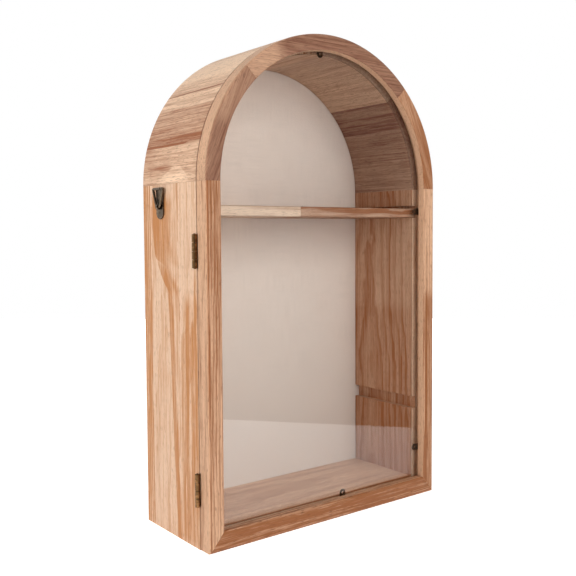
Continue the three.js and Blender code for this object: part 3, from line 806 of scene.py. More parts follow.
class CABINET_OT_side_panels(bpy.types.Operator):
    """The two upright sides, each with two shelf grooves and a rabbet for the back"""

    bl_idname = "cabinet.side_panels"
    bl_label = "Side panels"

    def board(self, side, arris):
        piece = drawn_out(case_section("side", INNER, OUTER, RABBET, arris), SPRING - HAIRLINE)
        # The rabbet ends just below the back board
        corner = (INNER + RABBET + OVERLAP, CASE_BACK, BOARD_BOTTOM - BOARD_CLEARANCE)
        carve(piece, add_block("plug", (INNER, SHOULDER - OVERLAP, 0), corner), operation="UNION")
        for height in (UPPER_GROOVE, LOWER_GROOVE):
            carve(piece, add_block(
                "groove", (INNER - OVERLAP, CASE_FRONT - OVERLAP, height),
                (INNER + GROOVE_DEPTH, CASE_BACK + OVERLAP, height + GROOVE_WIDTH)))
        # Only the grooves have level edges on the inner face away from the board's ends
        end = 10 * MM
        round_edges(piece, 0.3 * MM, 2, lambda a, b: (
            on_plane(INNER, a.x, b.x) and abs(a.z - b.z) < CLOSE and end < a.z < SPRING - end))
        if side > 0:
            carve(piece, disc_seat("catch_magnet", 1))
        else:
            piece.scale.x = -1
            mend(settle(piece))
            carve(piece, *leaf_seats(1))
        return smooth(piece)

    def execute(self, context):
        finish = context.scene.cabinet_wood
        fine_lines = [
            Mark(((-150, place), (150, place + 1)), 0.9, 1.2, 0.55, 1) for place in (30, 33, 36, 39)]
        left = Figure(
            tone=0.07, edge=0, ring=9, pith=(10, -26), lean=(0.03, 0.02), wander=9, late=0.5, streak=0.95,
            cloud=0.25, marks=(
                *fine_lines,
                Mark(((-140, 31), (140, 32)), 3, 60, 0.35, 1),
                Mark(((-140, -10), (-60, -4.6), (-2, -1.9), (50, 1.5), (60, 4)), 8, 0.9, 0.75, 0.8),
                Mark(((57, 3), (68, 12.5), (80, 19)), 22, 1, 0.75, 1),
                Mark(((80, 19), (94, 24), (130, 25)), 36, 1, 0.85, 1),
                Mark(((-140, -30), (52, -30)), 16, 16, 0.33, 4),
                Mark(((-140, -18), (-40, -17), (24, -20)), 5, 1.5, 0.38, 4),
                Mark(((-140, -26), (-60, -24), (48, -26)), 5, 1.5, 0.45, 5),
                Mark(((-140, -33), (0, -32), (34, -34)), 5, 1, 0.45, 4),
                Mark(((-140, -39), (66, -38)), 4, 2, 0.4, 3),
            ))
        right = Figure(
            tone=0.4, edge=0, ring=7, pith=(-12, -30), lean=(0.02, 0.04), wander=10, late=0.4, streak=0.5,
            marks=(whole_width(-150, -57, 0.35), whole_width(-57, 30, 0.2), whole_width(118, 150, 0.25)))
        for side, sign, figure, brown, seed in (
                ("left", -1, left, finish.side_golden, 3), ("right", 1, right, finish.side_brown, 11)):
            piece = self.board(sign, finish.arris)
            origin = (sign * OUTER, CASE_MIDDLE, SPRING / 2)
            lay_grain(piece, origin, (0, 0, 1), (0, -sign, 0))
            material = wood(f"side_wood_{side}", finish.side_pale, brown, figure, seed)
            hand_over(piece, f"side_panel_{side}", material)
        return {"FINISHED"}


class CABINET_OT_bottom_board(bpy.types.Operator):
    """The board between the sides that the cabinet stands on"""

    bl_idname = "cabinet.bottom_board"
    bl_label = "Bottom board"

    def execute(self, context):
        finish = context.scene.cabinet_wood
        rabbet = FLOOR_TOP - BOARD_BOTTOM + BOARD_CLEARANCE
        piece = case_section("floor", 0, FLOOR_TOP, rabbet, finish.arris)
        drawn_out(piece, 2 * INNER - 2 * HAIRLINE)
        moved(piece, Matrix.Translation((-INNER + HAIRLINE, 0, FLOOR_TOP)) @ turn_y(-math.pi / 2))
        smooth(piece)
        lay_grain(piece, (0, 0, FLOOR_TOP), (1, 0, 0), (0, 1, 0))
        # The mark is painted shadow: a dark strip on the floor's top along its front edge, from the door's
        # rail
        figure = Figure(
            tone=0.2, ring=6, pith=(8, -40), lean=(0.01, 0.02), wander=7,
            marks=(Mark(((-130, -35), (130, -35)), 50, 2.6, 1.2, 0.3),))
        material = wood("floor_wood", finish.side_pale, finish.side_brown, figure, 21)
        hand_over(piece, "bottom_board", material)
        return {"FINISHED"}


def stave_figure(number):
    """Every stave has its own tone, partly painted light on the pale staves 8 and 9, and a few have bands
    that stand out.
    """
    # Staves 8 and 9 face up to the left: their pale tones are partly their own wood and partly painted light
    # from above on the left
    tones = (0.69, 0.74, 0.87, 0.4, 0.49, 0.53, 0.5, 0.2, -0.2, 0.27, 0.64, 0.48)
    marks = {
        12: (
            Mark(((-20, -15.4), (60, -15.4)), 0.6, 1.8, 0.9, 0.3),
            Mark(((-30, 16), (-22, 9), (-12, 5), (0, 9), (14, 15)), 4, 40, -0.3, 1),
        ),
        11: (Mark(((-50, 15.7), (50, 15.7)), 8, 1, 0.3, 0.5),),
        10: (Mark(((-42, -1), (42, 0)), 0.6, 1.4, 0.7, 1.0),),
    }
    late, streak = (0.1, 0.4) if number <= len(tones) / 2 else (0.25, 0.7)
    spin = 2.4 * number
    return Figure(
        tone=tones[number - 1], edge=tones[number - 1], ring=4.6, pith=(14 * math.sin(spin), -34),
        lean=(0.05 * math.cos(spin), 0.03), wander=5, late=late, streak=streak, cloud=0.2,
        marks=marks.get(number, ()))


class CABINET_OT_arch_staves(bpy.types.Operator):
    """The staves of the arch, glued edge to edge, each with a tone and figure of its own, the tones of staves
    8 and 9 partly painted light
    """

    bl_idname = "cabinet.arch_staves"
    bl_label = "Arch staves"

    def execute(self, context):
        finish = context.scene.cabinet_wood
        sweep = math.pi / len(STAVES)
        hairline = HAIRLINE / OUTER
        blank = case_section("stave", INNER, OUTER, RABBET, finish.arris)
        swept(blank, hairline, sweep - hairline)
        for i, node in enumerate(STAVES):
            piece = copy_piece(blank, node)
            moved(piece, Matrix.Translation((0, 0, SPRING)) @ turn_y(i * sweep))
            smooth(piece)
            middle = (i + 0.5) * sweep
            outward = Vector((math.cos(middle), 0, math.sin(middle)))
            origin = Vector((0, CASE_MIDDLE, SPRING)) + outward * OUTER
            lay_grain(piece, origin, (0, 1, 0), (-math.sin(middle), 0, math.cos(middle)))
            brown = finish.arch_dull if i < len(STAVES) / 2 else finish.arch_brown
            material = wood(f"{node}_wood", finish.arch_pale, brown, stave_figure(i + 1), 40 + 5 * i)
            hand_over(piece, node, material)
        remove(blank)
        return {"FINISHED"}


class CABINET_OT_shelf_boards(bpy.types.Operator):
    """The shelf: a pale and a brown board glued end to end"""

    bl_idname = "cabinet.shelf_boards"
    bl_label = "Shelf boards"

    def execute(self, context):
        finish = context.scene.cabinet_wood
        left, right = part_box("shelf_board_left"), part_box("shelf_board_right")
        joint = (left[1].x + right[0].x) / 2
        ends = {"left": (left[0].x, joint - HAIRLINE), "right": (joint + HAIRLINE, right[1].x)}
        for side, tone, seed in (("left", 0, 61), ("right", 0.7, 67)):
            low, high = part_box(f"shelf_board_{side}")
            low.x, high.x = ends[side]
            piece = add_block(f"shelf_{side}", low, high)
            round_edges(piece, finish.arris, 3, lambda a, b: abs(a.x - b.x) > 1 * MM)
            smooth(piece)
            lay_grain(piece, (0, 0, high.z), (1, 0, 0), (0, 1, 0))
            figure = Figure(tone=tone, edge=tone, ring=5, pith=(6, -30), lean=(0.02, 0.01), streak=0.6)
            material = wood(f"shelf_wood_{side}", finish.shelf_pale, finish.shelf_brown, figure, seed)
            hand_over(piece, f"shelf_board_{side}", material)
        return {"FINISHED"}


class CABINET_OT_back_board(bpy.types.Operator):
    """The board that closes the back, pinned with four brads"""

    bl_idname = "cabinet.back_board"
    bl_label = "Back board"

    def execute(self, context):
        finish = context.scene.cabinet_wood
        low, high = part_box("back_board")
        piece = arched_slab("back", high.x, low.z, low.y, high.y)
        round_edges(piece, 0.4 * MM, 2, lambda a, b: on_plane(high.y, a.y, b.y))
        # Each brad's head lies in a shallow pit that widens outwards
        for node in nodes_named("back_brad_"):
            radius, depth = half_width(node), 0.7 * MM
            sink = turned("sink", ((radius * 1.1, 0), (radius * 1.25, 1 * MM)))
            carve(piece, moved(sink, aimed((0, 1, 0), centre_of(node, CASE_BACK - depth))))
        smooth(piece)
        lay_grain(piece, (0, CASE_BACK, SPRING / 2), (0, 0, 1), (1, 0, 0))
        figure = Figure(tone=0.1, ring=16, pith=(20, -22), lean=(0.05, 0.02), wander=26, streak=0.3)
        material = wood("back_veneer", finish.back_pale, finish.back_brown, figure, 75)
        hand_over(piece, "back_board", material)
        return {"FINISHED"}


class CABINET_OT_backing_linen(bpy.types.Operator):
    """The linen that is glued over the back, barely uneven over its board"""

    bl_idname = "cabinet.backing_linen"
    bl_label = "Backing linen"

    def execute(self, context):
        finish = context.scene.cabinet_finish
        low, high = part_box("backing_linen")
        spare, cell = 2 * MM, 3 * MM
        width, height = high.x - low.x + 2 * spare, high.z - low.z + 2 * spare
        piece = primitive(
            "linen", bpy.ops.mesh.primitive_grid_add, x_subdivisions=round(width / cell),
            y_subdivisions=round(height / cell), size=1)
        piece.scale = (width, height, 1)
        piece.rotation_euler = (math.pi / 2, 0, 0)
        piece.location = (0, low.y + 0.1 * MM, (low.z + high.z) / 2)
        settle(piece)
        swell = bpy.data.textures.new("linen_swell", "CLOUDS")
        swell.noise_scale = 22 * MM
        apply_modifier(
            piece, "DISPLACE", texture=swell, texture_coords="LOCAL", direction="Y", strength=0.12 * MM,
            mid_level=0.5)
        apply_modifier(piece, "SOLIDIFY", thickness=0.6 * MM, offset=-1)
        mend(piece)
        trim = arched_slab("trim", high.x, low.z, low.y - OVERLAP, high.y + OVERLAP)
        carve(piece, trim, operation="INTERSECT")
        smooth(piece)
        hand_over(piece, "backing_linen", linen_cloth(finish.linen, finish.thread))
        return {"FINISHED"}


def door_figures():
    """How each member of the door was sawn, by its node."""
    left = Figure(
        tone=0.46, edge=0.04, ring=2.6, pith=(34, -16), lean=(0.012, 0), wander=4, late=0.75, streak=1.0,
        marks=(
            whole_width(60, 150, 0.15),
            whole_width(-150, -20, -0.22),
            Mark(((-150, 5), (150, 5)), 0.6, 1, 0.5, 0.4),
        ))
    right = Figure(
        tone=0.15, edge=-0.3, ring=3.4, pith=(20, -16), wander=4, late=0.5, streak=1.0,
        marks=(whole_width(-150, 45, 0.5), Mark(((-150, 3), (90, 2)), 2, 2, 0.4)))
    rail = Figure(tone=0.88, edge=0.5, ring=2.4, pith=(3, -9), wander=3, late=0.4, streak=1.2, pore=0.8)
    arch_left = Figure(
        tone=0.6, edge=0.1, ring=2.6, pith=(-60, -60), late=0.1, streak=0.4,
        marks=(whole_width(-60, 0, 0.2),))
    arch_top = Figure(
        tone=0.46, edge=-0.1, ring=3, pith=(-60, -50), lean=(0.02, 0), wander=4, late=0.1, streak=0.45,
        marks=(whole_width(-52, 120, 0.38),))
    arch_right = Figure(
        tone=0.5, edge=-0.1, ring=3, pith=(30, -40), late=0.15, streak=0.6,
        marks=(whole_width(-60, -16, 0.18), whole_width(-16, 60, 0.35)))
    return {
        "door_stile_left": left, "door_stile_right": right, "door_rail_bottom": rail,
        "door_arch_left": arch_left, "door_arch_top": arch_top, "door_arch_right": arch_right,
    }


class CABINET_OT_door_frame(bpy.types.Operator):
    """Stiles, rail and arch of the door, with rounded front edges and a rebate for the glass"""

    bl_idname = "cabinet.door_frame"
    bl_label = "Door frame"

    def bar(self, finish, inner, outer, rebate):
        edges = (finish.door_inner_round, finish.door_outer_round, finish.arris, 0.3 * MM, 0.4 * MM)
        return section("member", inner, outer, edges, (inner + rebate, LIP_BACK))

    def mitre(self, piece, side, keep_stile):
        """Cuts one end along the line from the opening's corner to the outer corner."""
        line = Vector((side * (OUTER - OPENING), 0, DOOR_BOTTOM - RAIL_TOP))
        away = Vector((line.z, 0, -line.x)).normalized()
        if (away.z < 0) != keep_stile:
            away = -away
        return slice_off(piece, Vector((side * OPENING, 0, RAIL_TOP)) - away * HAIRLINE, away)

    def stile(self, finish, side, rebate):
        piece = self.bar(finish, OPENING, OUTER, rebate)
        drawn_out(piece, SPRING - HAIRLINE - DOOR_BOTTOM)
        piece.location.z = DOOR_BOTTOM
        piece.scale.x = side
        mend(settle(piece))
        seats = leaf_seats(-1) if side < 0 else [disc_seat("catch_strike_disc", -1)]
        return self.mitre(carve(piece, *seats), side, True)

    def rail(self, finish, rebate):
        piece = self.bar(finish, 0, RAIL_TOP - DOOR_BOTTOM, rebate)
        drawn_out(piece, 2 * OUTER)
        moved(piece, Matrix.Translation((-OUTER, 0, RAIL_TOP)) @ turn_y(-math.pi / 2))
        for side in (-1, 1):
            self.mitre(piece, side, False)
        return piece

    def execute(self, context):
        finish = context.scene.cabinet_wood
        rebate = GLASS_HALF + GLASS_CLEARANCE - OPENING
        middle = (OPENING + OUTER) / 2
        joints = (0, DOOR_JOINT, math.pi - DOOR_JOINT, math.pi)
        hairline = HAIRLINE / OPENING
        members = {}
        for side, sign in SIDES:
            piece = self.stile(finish, sign, rebate)
            lay_grain(piece, (sign * middle, DOOR_FRONT, SPRING / 2), (0, 0, 1), (-1, 0, 0))
            members[f"door_stile_{side}"] = piece
        piece = self.rail(finish, rebate)
        lay_grain(piece, (0, DOOR_FRONT, (RAIL_TOP + DOOR_BOTTOM) / 2), (1, 0, 0), (0, 0, 1))
        members["door_rail_bottom"] = piece
        for side, start, end in zip(("right", "top", "left"), joints, joints[1:]):
            piece = swept(self.bar(finish, OPENING, OUTER, rebate), start + hairline, end - hairline)
            moved(piece, Matrix.Translation((0, 0, SPRING)))
            turn = (start + end) / 2
            out = Vector((math.cos(turn), 0, math.sin(turn)))
            along = Vector((out.z, 0, -out.x))
            lay_grain(piece, Vector((0, DOOR_FRONT, SPRING)) + out * middle, along, out)
            members[f"door_arch_{side}"] = piece
        brown_members = ("door_arch_left", "door_arch_top")
        for i, (node, figure) in enumerate(door_figures().items()):
            smooth(members[node])
            brown = finish.door_brown if node in brown_members else finish.door_golden
            material = wood(f"{node}_wood", finish.door_pale, brown, figure, 110 + 7 * i)
            hand_over(members[node], node, material)
        return {"FINISHED"}


# Glass and metal


class CABINET_OT_glass_pane(bpy.types.Operator):
    """The pane in the door's rebate"""

    bl_idname = "cabinet.glass_pane"
    bl_label = "Glass pane"

    def execute(self, context):
        low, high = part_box("glass_pane")
        piece = arched_slab("glass", high.x, low.z, low.y, high.y)
        round_edges(piece, 0.25 * MM, 1, lambda a, b: on_plane(low.y, a.y, b.y) or on_plane(high.y, a.y, b.y))
        smooth(piece, 30)
        hand_over(piece, "glass_pane", clear_glass(context.scene.cabinet_finish.gleam))
        return {"FINISHED"}


class CABINET_OT_glazing_points(bpy.types.Operator):
    """Flat pierced points, pressed into the rebate, that hold the glass"""

    bl_idname = "cabinet.glazing_points"
    bl_label = "Glazing points"

    def execute(self, context):
        nose, half, thickness, hole = 7 * MM, 3 * MM, 0.6 * MM, 1 * MM
        corners = [((nose, y, 0), ROUND_END * half, 8) for y in (-half, half)]
        blank = drawn_out(outline("point", (-nose, -half), (nose, half), corners), thickness)
        drill = turned("drill", ((hole, -thickness), (hole, 2 * thickness)))
        carve(blank, moved(drill, Matrix.Translation((nose - half, 0, 0))))
        round_edges(blank, 0.12 * MM, 2, lambda a, b: abs(a.z - b.z) < CLOSE)
        moved(blank, Matrix.Rotation(math.pi / 2, 4, "X"))
        material = old_metal("glazing_bronze", context.scene.cabinet_finish.bronze, 0.42, 0.5)
        for node in nodes_named("glazing_point_"):
            place = centre_of(node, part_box(node)[1].y)
            outward = Vector((place.x, 0, 0))
            if node.endswith("bottom"):
                outward = Vector((0, 0, -1))
            elif node.endswith("crown"):
                outward = Vector((place.x, 0, place.z - SPRING))
            turn = turn_y(math.atan2(-outward.z, -outward.x))
            place_copy(blank, node, Matrix.Translation(place) @ turn, material)
        remove(blank)
        return {"FINISHED"}


# How deep the countersunk head of every screw is
HEAD_DEPTH = 0.7 * MM


def screw(length):
    """A countersunk cross-head screw along +Z, its flat head at the origin."""
    head, rim, shank, tip, point = 1.6 * MM, 0.12 * MM, 0.75 * MM, 1.5 * MM, 0.1 * MM
    rings = ((head - rim, 0), (head, rim), (shank, HEAD_DEPTH), (shank, length - tip), (point, length))
    piece = turned("screw", rings, SCREW_SIDES)
    slot = 1.1 * MM
    narrow = 0.17 * slot
    for wide, deep in ((slot, narrow), (narrow, slot)):
        carve(piece, add_block("recess", (-wide, -deep, -OVERLAP), (wide, deep, 0.55 * HEAD_DEPTH)))
    return piece


def countersink():
    """Cuts a screw's seat through a plate whose face is at the origin."""
    rim, hole, through = 1.8 * MM, 0.95 * MM, 2 * MM
    rings = ((rim, -OVERLAP), (rim, 0), (hole, HEAD_DEPTH), (hole, through))
    return turned("sink", rings, SCREW_SIDES)


class CABINET_OT_hinges(bpy.types.Operator):
    """Two butt hinges with loose pins and cross-head screws"""

    bl_idname = "cabinet.hinges"
    bl_label = "Hinges"

    def leaf(self, half, barrel, reach):
        """A leaf on the case's side, with every second knuckle. Turned over, it is the door's."""
        face = 0.2 * MM
        back = face + LEAF_THICKNESS
        knuckle = 2 * half / KNUCKLES
        gap, worn = 0.1 * MM, 0.16 * MM
        piece = add_block("leaf", (barrel + SEAT_GAP, face, -half), (reach, back, half))
        round_edges(piece, worn, 2, lambda a, b: max(a.x, b.x) > reach - 0.1 * MM)
        for i in range(1, KNUCKLES, 2):
            top = half - i * knuckle - gap
            bottom = top - knuckle + 2 * gap
            web = add_block("web", (0, face, bottom), (barrel + OVERLAP, back, top))
            rod = turned("knuckle", rod_rings(barrel, bottom, top, worn), BARREL_SIDES)
            carve(piece, web, rod, operation="UNION")
        eye = PIN_RADIUS + gap
        drills = [turned("eye", ((eye, -half - OVERLAP), (eye, half + OVERLAP)))]
        for height in (-HINGE_SCREW_SPACING / 2, HINGE_SCREW_SPACING / 2):
            place = ((barrel + SEAT_GAP + reach) / 2, face, height)
            drills.append(moved(countersink(), aimed((0, 1, 0), place)))
        return carve(piece, *drills)

    def pin(self, half):
        """The pin, with a domed end above and below the barrel."""
        dome = 0.5 * MM
        angles = [math.radians(degrees) for degrees in (80, 50, 25, 0)]
        rings = [(PIN_RADIUS * math.cos(angle), dome * (1 - math.sin(angle)) - half) for angle in angles]
        rings += [(radius, -height) for radius, height in reversed(rings)]
        return turned("pin", rings, 28)

    def execute(self, context):
        material = old_metal("aged_brass", context.scene.cabinet_finish.brass, 0.4, 0.8)
        _, half, barrel, reach = hinge_sizes("hinge_upper")
        leaf, pin, fixing = self.leaf(half, barrel, reach), self.pin(half + 0.6 * MM), screw(8 * MM)
        for hinge in ("hinge_upper", "hinge_lower"):
            seat = Matrix.Translation(hinge_sizes(hinge)[0])
            parts = [
                (f"{hinge}_case_leaf", leaf, seat),
                (f"{hinge}_door_leaf", leaf, seat @ Matrix.Rotation(math.pi, 4, "X")),
                (f"{hinge}_pin", pin, seat)]
            for side, way in (("case", 1), ("door", -1)):
                for number in (1, 2):
                    node = f"{hinge}_{side}_screw_{number}"
                    head = centre_of(node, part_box(node)[0 if way > 0 else 1].y)
                    parts.append((node, fixing, aimed((0, way, 0), head)))
            for node, blank, matrix in parts:
                place_copy(blank, node, matrix, material)
        for blank in (leaf, pin, fixing):
            remove(blank)
        return {"FINISHED"}


# Sizes of the hangers, from the middle of the ring's foot: x points out of the cabinet's side
WIRE_RADIUS = 1 * MM
RING_FOOT = 2.6 * MM
RING_TOP = 8 * MM
RING_RISE = 14.3 * MM
STRAP_HALF = 5.7 * MM
STRAP_DROP = 9.7 * MM
STRAP_RISE = 15.2 * MM
STRAP_THICKNESS = 1 * MM
STRAP_BEHIND = 1.3 * MM


class CABINET_OT_hangers(bpy.types.Operator):
    """On each side a strap with a bridge, its screw, and a bent wire ring that turns in the bridge"""

    bl_idname = "cabinet.hangers"
    bl_label = "Hangers"

    def screw_seat(self):
        """Takes a screw or its countersink to the strap's lower end."""
        return aimed((-1, 0, 0), (-STRAP_BEHIND, 0, STRAP_HALF - STRAP_DROP))

    def strap(self):
        corners = [((x, -STRAP_DROP, 0), ROUND_END * STRAP_HALF, 10) for x in (-STRAP_HALF, STRAP_HALF)]
        corners += [((x, STRAP_RISE, 0), 1.2 * MM, 4) for x in (-STRAP_HALF, STRAP_HALF)]
        plate = outline("strap", (-STRAP_HALF, -STRAP_DROP), (STRAP_HALF, STRAP_RISE), corners)
        drawn_out(plate, STRAP_THICKNESS)
        round_edges(plate, 0.22 * MM, 2, lambda a, b: on_plane(STRAP_THICKNESS, a.z, b.z))
        upright = Matrix(((0, 0, 1), (1, 0, 0), (0, 1, 0))).to_4x4()
        moved(plate, Matrix.Translation((-STRAP_BEHIND - STRAP_THICKNESS, 0, 0)) @ upright)
        carve(plate, self.bridge(), operation="UNION")
        eye, through = WIRE_RADIUS + 0.25 * MM, 3 * MM
        bore = moved(turned("bore", ((eye, -through), (eye, through))), aimed((0, 1, 0)))
        return carve(plate, bore, moved(countersink(), self.screw_seat()))

    def bridge(self):
        """The round-backed loop that stands on the strap and holds the ring's foot."""
        shell, half, worn = WIRE_RADIUS + 1.05 * MM, 1.3 * MM, 0.2 * MM
        root = -STRAP_BEHIND - STRAP_THICKNESS / 2
        dome = moved(turned("dome", rod_rings(shell, -half, half, worn), BARREL_SIDES), aimed((0, 1, 0)))
        carve(dome, add_block("cheeks", (root, -half, -shell), (0, half, shell)), operation="UNION")
        rear = add_block("rear", (-2 * shell, -2 * half, -2 * shell), (root, 2 * half, 2 * shell))
        return carve(dome, rear)

    def ring(self):
        """The wire follows a triangle on its narrow foot, with rounded bends and a split at the top."""
        bend = 1.4 * MM
        bends = ((RING_TOP, RING_RISE), (RING_FOOT, 0), (-RING_FOOT, 0), (-RING_TOP, RING_RISE))
        stops = ((RING_TOP - 2.6 * MM, RING_RISE), *bends, (RING_TOP - 3.8 * MM, RING_RISE))
        piece = settle(primitive(
            "ring", bpy.ops.mesh.primitive_plane_add, size=1 * MM, location=(0, *stops[0])))
        # The small face shrinks to the first point of the line
        with editing(piece, "VERT", "SELECT"):
            bpy.ops.mesh.merge(type="CENTER")
            for (y, z), (next_y, next_z) in zip(stops, stops[1:]):
                extrude(0, next_y - y, next_z - z)
        round_corners(piece, [((0, *place), bend, 8) for place in bends])
        select_only(piece)
        bpy.ops.object.convert(target="CURVE")
        wire = bpy.context.object
        wire.data.bevel_depth = WIRE_RADIUS
        wire.data.bevel_resolution = 5
        wire.data.use_fill_caps = True
        bpy.ops.object.convert(target="MESH")
        return mend(bpy.context.object)

    def execute(self, context):
        material = old_metal("dark_bronze", context.scene.cabinet_finish.bronze, 0.36, 0.6)
        blanks = strap, ring, fixing = self.strap(), self.ring(), screw(10 * MM)
        for side, sign in SIDES:
            pivot = centre_of(f"hanger_ring_{side}")
            pivot.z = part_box(f"hanger_ring_{side}")[0].z + WIRE_RADIUS
            seat = Matrix.Translation(pivot) @ Matrix.Rotation(0 if sign > 0 else math.pi, 4, "Z")
            parts = (
                ("strap", strap, seat), ("ring", ring, seat), ("screw", fixing, seat @ self.screw_seat()))
            for name, blank, matrix in parts:
                place_copy(blank, f"hanger_{name}_{side}", matrix, material)
        for blank in blanks:
            remove(blank)
        return {"FINISHED"}


class CABINET_OT_brads_and_catch(bpy.types.Operator):
    """The brads in the back, and the magnet and steel disc that keep the door shut"""

    bl_idname = "cabinet.brads_and_catch"
    bl_label = "Brads and catch"

    def execute(self, context):
        material = old_metal("bright_steel", context.scene.cabinet_finish.steel, 0.3, 0.7)
        head, shank, length = 1.1 * MM, 0.5 * MM, 14 * MM
        rings = (
            (0.08 * MM, -length), (shank, 2 * shank - length), (shank, -0.6 * MM), (head, -0.45 * MM),
            (head, -0.15 * MM), (0.8 * head, 0))
        brad = turned("brad", rings, SCREW_SIDES)
        for node in nodes_named("back_brad_"):
            seat = aimed((0, 1, 0), centre_of(node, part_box(node)[1].y))
            place_copy(brad, node, seat, material)
        remove(brad)
        worn = 0.2 * MM
        for node in ("catch_magnet", "catch_strike_disc"):
            low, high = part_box(node)
            disc = turned(node, rod_rings(half_width(node), 0, high.y - low.y, worn), DISC_SIDES)
            moved(disc, aimed((0, 1, 0), centre_of(node, low.y)))
            hand_over(smooth(disc), node, material)
        return {"FINISHED"}


# Stage

# Each lamp's place and size, and the point that all of them face, in metres
LAMPS = {
    "left": ((-1.5, -0.05, 0.7), (1.2, 1.4)),
    "front": ((-0.1, -1.6, 0.65), (1.2, 1.2)),
    "right": ((1.1, -1.4, 0.7), (1.2, 1.2)),
    "back": ((1.0, 1.4, 0.5), (1.2, 1.2)),
}
LIT_POINT = (0, 0, 0.2)

# The width of the camera's sensor, in millimetres
SENSOR_WIDTH = 36


def softbox(name, place, size, power):
    """A rectangular lamp that faces the cabinet and doesn't show in reflections."""
    data = bpy.data.lights.new(name, "AREA")
    data.shape = "RECTANGLE"
    data.size, data.size_y = size
    data.energy = power
    lamp = bpy.data.objects.new(name, data)
    bpy.context.collection.objects.link(lamp)
    direction = Vector(LIT_POINT) - Vector(place)
    turn = direction.to_track_quat("-Z", "Y").to_matrix().to_4x4()
    lamp.matrix_world = Matrix.Translation(Vector(place)) @ turn
    lamp.visible_glossy = False


def seen(m):
    """1 for what the camera sees or a shiny surface mirrors, 0 for light that falls on things."""
    path = m.node("ShaderNodeLightPath").socket.node
    camera, glossy, through = (
        Term(m, path.outputs[f"Is {kind} Ray"]) for kind in ("Camera", "Glossy", "Transmission"))
    return (camera + glossy + through).step(0, 1)


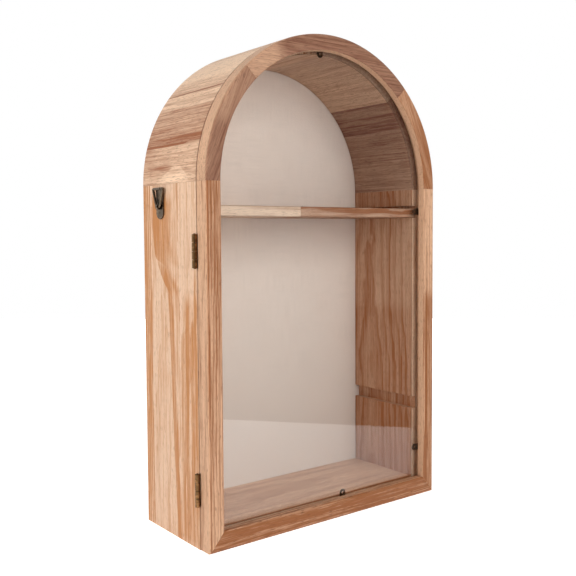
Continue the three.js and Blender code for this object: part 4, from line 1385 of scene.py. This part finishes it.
class CABINET_OT_stage(bpy.types.Operator):
    """Camera, pale floor, white surroundings and soft lamps"""

    bl_idname = "cabinet.stage"
    bl_label = "Stage"

    def camera(self, scene, stage):
        data = bpy.data.cameras.new("camera")
        data.lens = stage.lens
        data.sensor_width = SENSOR_WIDTH
        data.shift_x, data.shift_y = stage.camera_shift
        camera = bpy.data.objects.new("camera", data)
        scene.collection.objects.link(camera)
        turn = Matrix.Rotation(stage.camera_yaw, 4, "Z")
        turn = turn @ Matrix.Rotation(math.pi / 2 + stage.camera_pitch, 4, "X")
        turn = turn @ Matrix.Rotation(stage.camera_roll, 4, "Z")
        camera.matrix_world = Matrix.Translation(stage.camera_place) @ turn
        scene.camera = camera

    def surroundings(self, scene, stage):
        """White where it is seen or mirrored, and an even light on everything else."""
        scene.world = bpy.data.worlds.new("surroundings")
        m = Recipe(scene.world)
        even = m.node("ShaderNodeBackground", inputs={"Color": WHITE, "Strength": stage.room_light})
        white = m.node("ShaderNodeBackground", inputs={"Color": WHITE, "Strength": 1})
        m.finish(m.node("ShaderNodeMixShader", inputs={0: seen(m), 1: even, 2: white}))

    def floor(self, stage):
        """White paper under the cabinet. Past its edge on the right the glass mirrors a dim room, so
        the sheet that goes on from there is only there for the camera and for the light."""
        m = new_recipe("white_paper")
        matte = m.node("ShaderNodeBsdfDiffuse", inputs={"Color": (0.9, 0.9, 0.9, 1)})
        glow = m.node("ShaderNodeEmission", inputs={"Color": WHITE, "Strength": stage.floor_glow})
        lit = m.node("ShaderNodeAddShader", inputs={0: matte, 1: glow})
        paper = m.finish(m.node("ShaderNodeMixShader", inputs={0: seen(m), 1: matte, 2: lit}))
        length, width = 3.2, 1.5
        for name, side in (("floor", 1), ("floor_beyond", -1)):
            sheet = primitive(name, bpy.ops.mesh.primitive_plane_add, size=1)
            sheet.scale = (length, width, 1)
            settle(sheet)
            edge = Matrix.Translation(stage.floor_edge) @ Matrix.Rotation(stage.floor_turn, 4, "Z")
            moved(sheet, edge @ Matrix.Translation((0, side * width / 2, 0)))
            sheet.data.materials.append(paper)
            sheet.visible_glossy = side > 0

    def dim_room(self):
        """A dark sheet far in front that only shiny surfaces mirror, as they would a dim room."""
        sheet = primitive(
            "dim_room", bpy.ops.mesh.primitive_plane_add, size=1, location=(0, -2.5, 1.0),
            rotation=(math.pi / 2, 0, 0))
        sheet.scale = (16, 8, 1)
        settle(sheet)
        m = new_recipe("dim_room")
        # Dim this far in front, and paler for a sheet nearer than about half a metre
        _, y, _ = m.place()
        level = m.blend(y.step(-580, -420), (0.02, 0.02, 0.02), (0.38, 0.37, 0.36))
        glow = m.node("ShaderNodeEmission", inputs={"Color": level, "Strength": 1})
        sheet.data.materials.append(m.finish(glow))
        sheet.visible_camera = False
        sheet.visible_diffuse = False
        sheet.visible_shadow = False
        sheet.visible_transmission = False

    def execute(self, context):
        scene = context.scene
        stage = scene.cabinet_stage
        scene.view_settings.view_transform = "Standard"
        self.camera(scene, stage)
        self.surroundings(scene, stage)
        self.floor(stage)
        self.dim_room()
        for name, (place, size) in LAMPS.items():
            softbox(f"{name}_lamp", place, size, getattr(stage, f"{name}_power"))
        return {"FINISHED"}


class CABINET_PT_panel(bpy.types.Panel):
    """Lists the cabinet's pieces and settings"""

    bl_idname = "CABINET_PT_panel"
    bl_label = "Arched display cabinet"
    bl_space_type = "VIEW_3D"
    bl_region_type = "UI"
    bl_category = "Cabinet"

    def draw(self, context):
        column = self.layout.column()
        for operator in OPERATORS:
            column.operator(operator.bl_idname)
        for name, group in SETTINGS.items():
            for setting in group.__annotations__:
                column.prop(getattr(context.scene, name), setting)


SETTINGS = {"cabinet_wood": CabinetWood, "cabinet_finish": CabinetFinish, "cabinet_stage": CabinetStage}
OPERATORS = (
    CABINET_OT_stage, CABINET_OT_side_panels, CABINET_OT_bottom_board, CABINET_OT_arch_staves,
    CABINET_OT_back_board, CABINET_OT_backing_linen, CABINET_OT_shelf_boards, CABINET_OT_door_frame,
    CABINET_OT_glass_pane, CABINET_OT_glazing_points, CABINET_OT_hinges, CABINET_OT_hangers,
    CABINET_OT_brads_and_catch)


def register():
    for group in (*SETTINGS.values(), *OPERATORS, CABINET_PT_panel):
        bpy.utils.register_class(group)
    for name, group in SETTINGS.items():
        setattr(bpy.types.Scene, name, bpy.props.PointerProperty(type=group))


def unregister():
    for name in SETTINGS:
        delattr(bpy.types.Scene, name)
    for group in reversed((*SETTINGS.values(), *OPERATORS, CABINET_PT_panel)):
        bpy.utils.unregister_class(group)


def main():
    register()
    for operator in OPERATORS:
        getattr(bpy.ops.cabinet, operator.bl_idname.split(".")[1])()


if __name__ == "__main__":
    main()
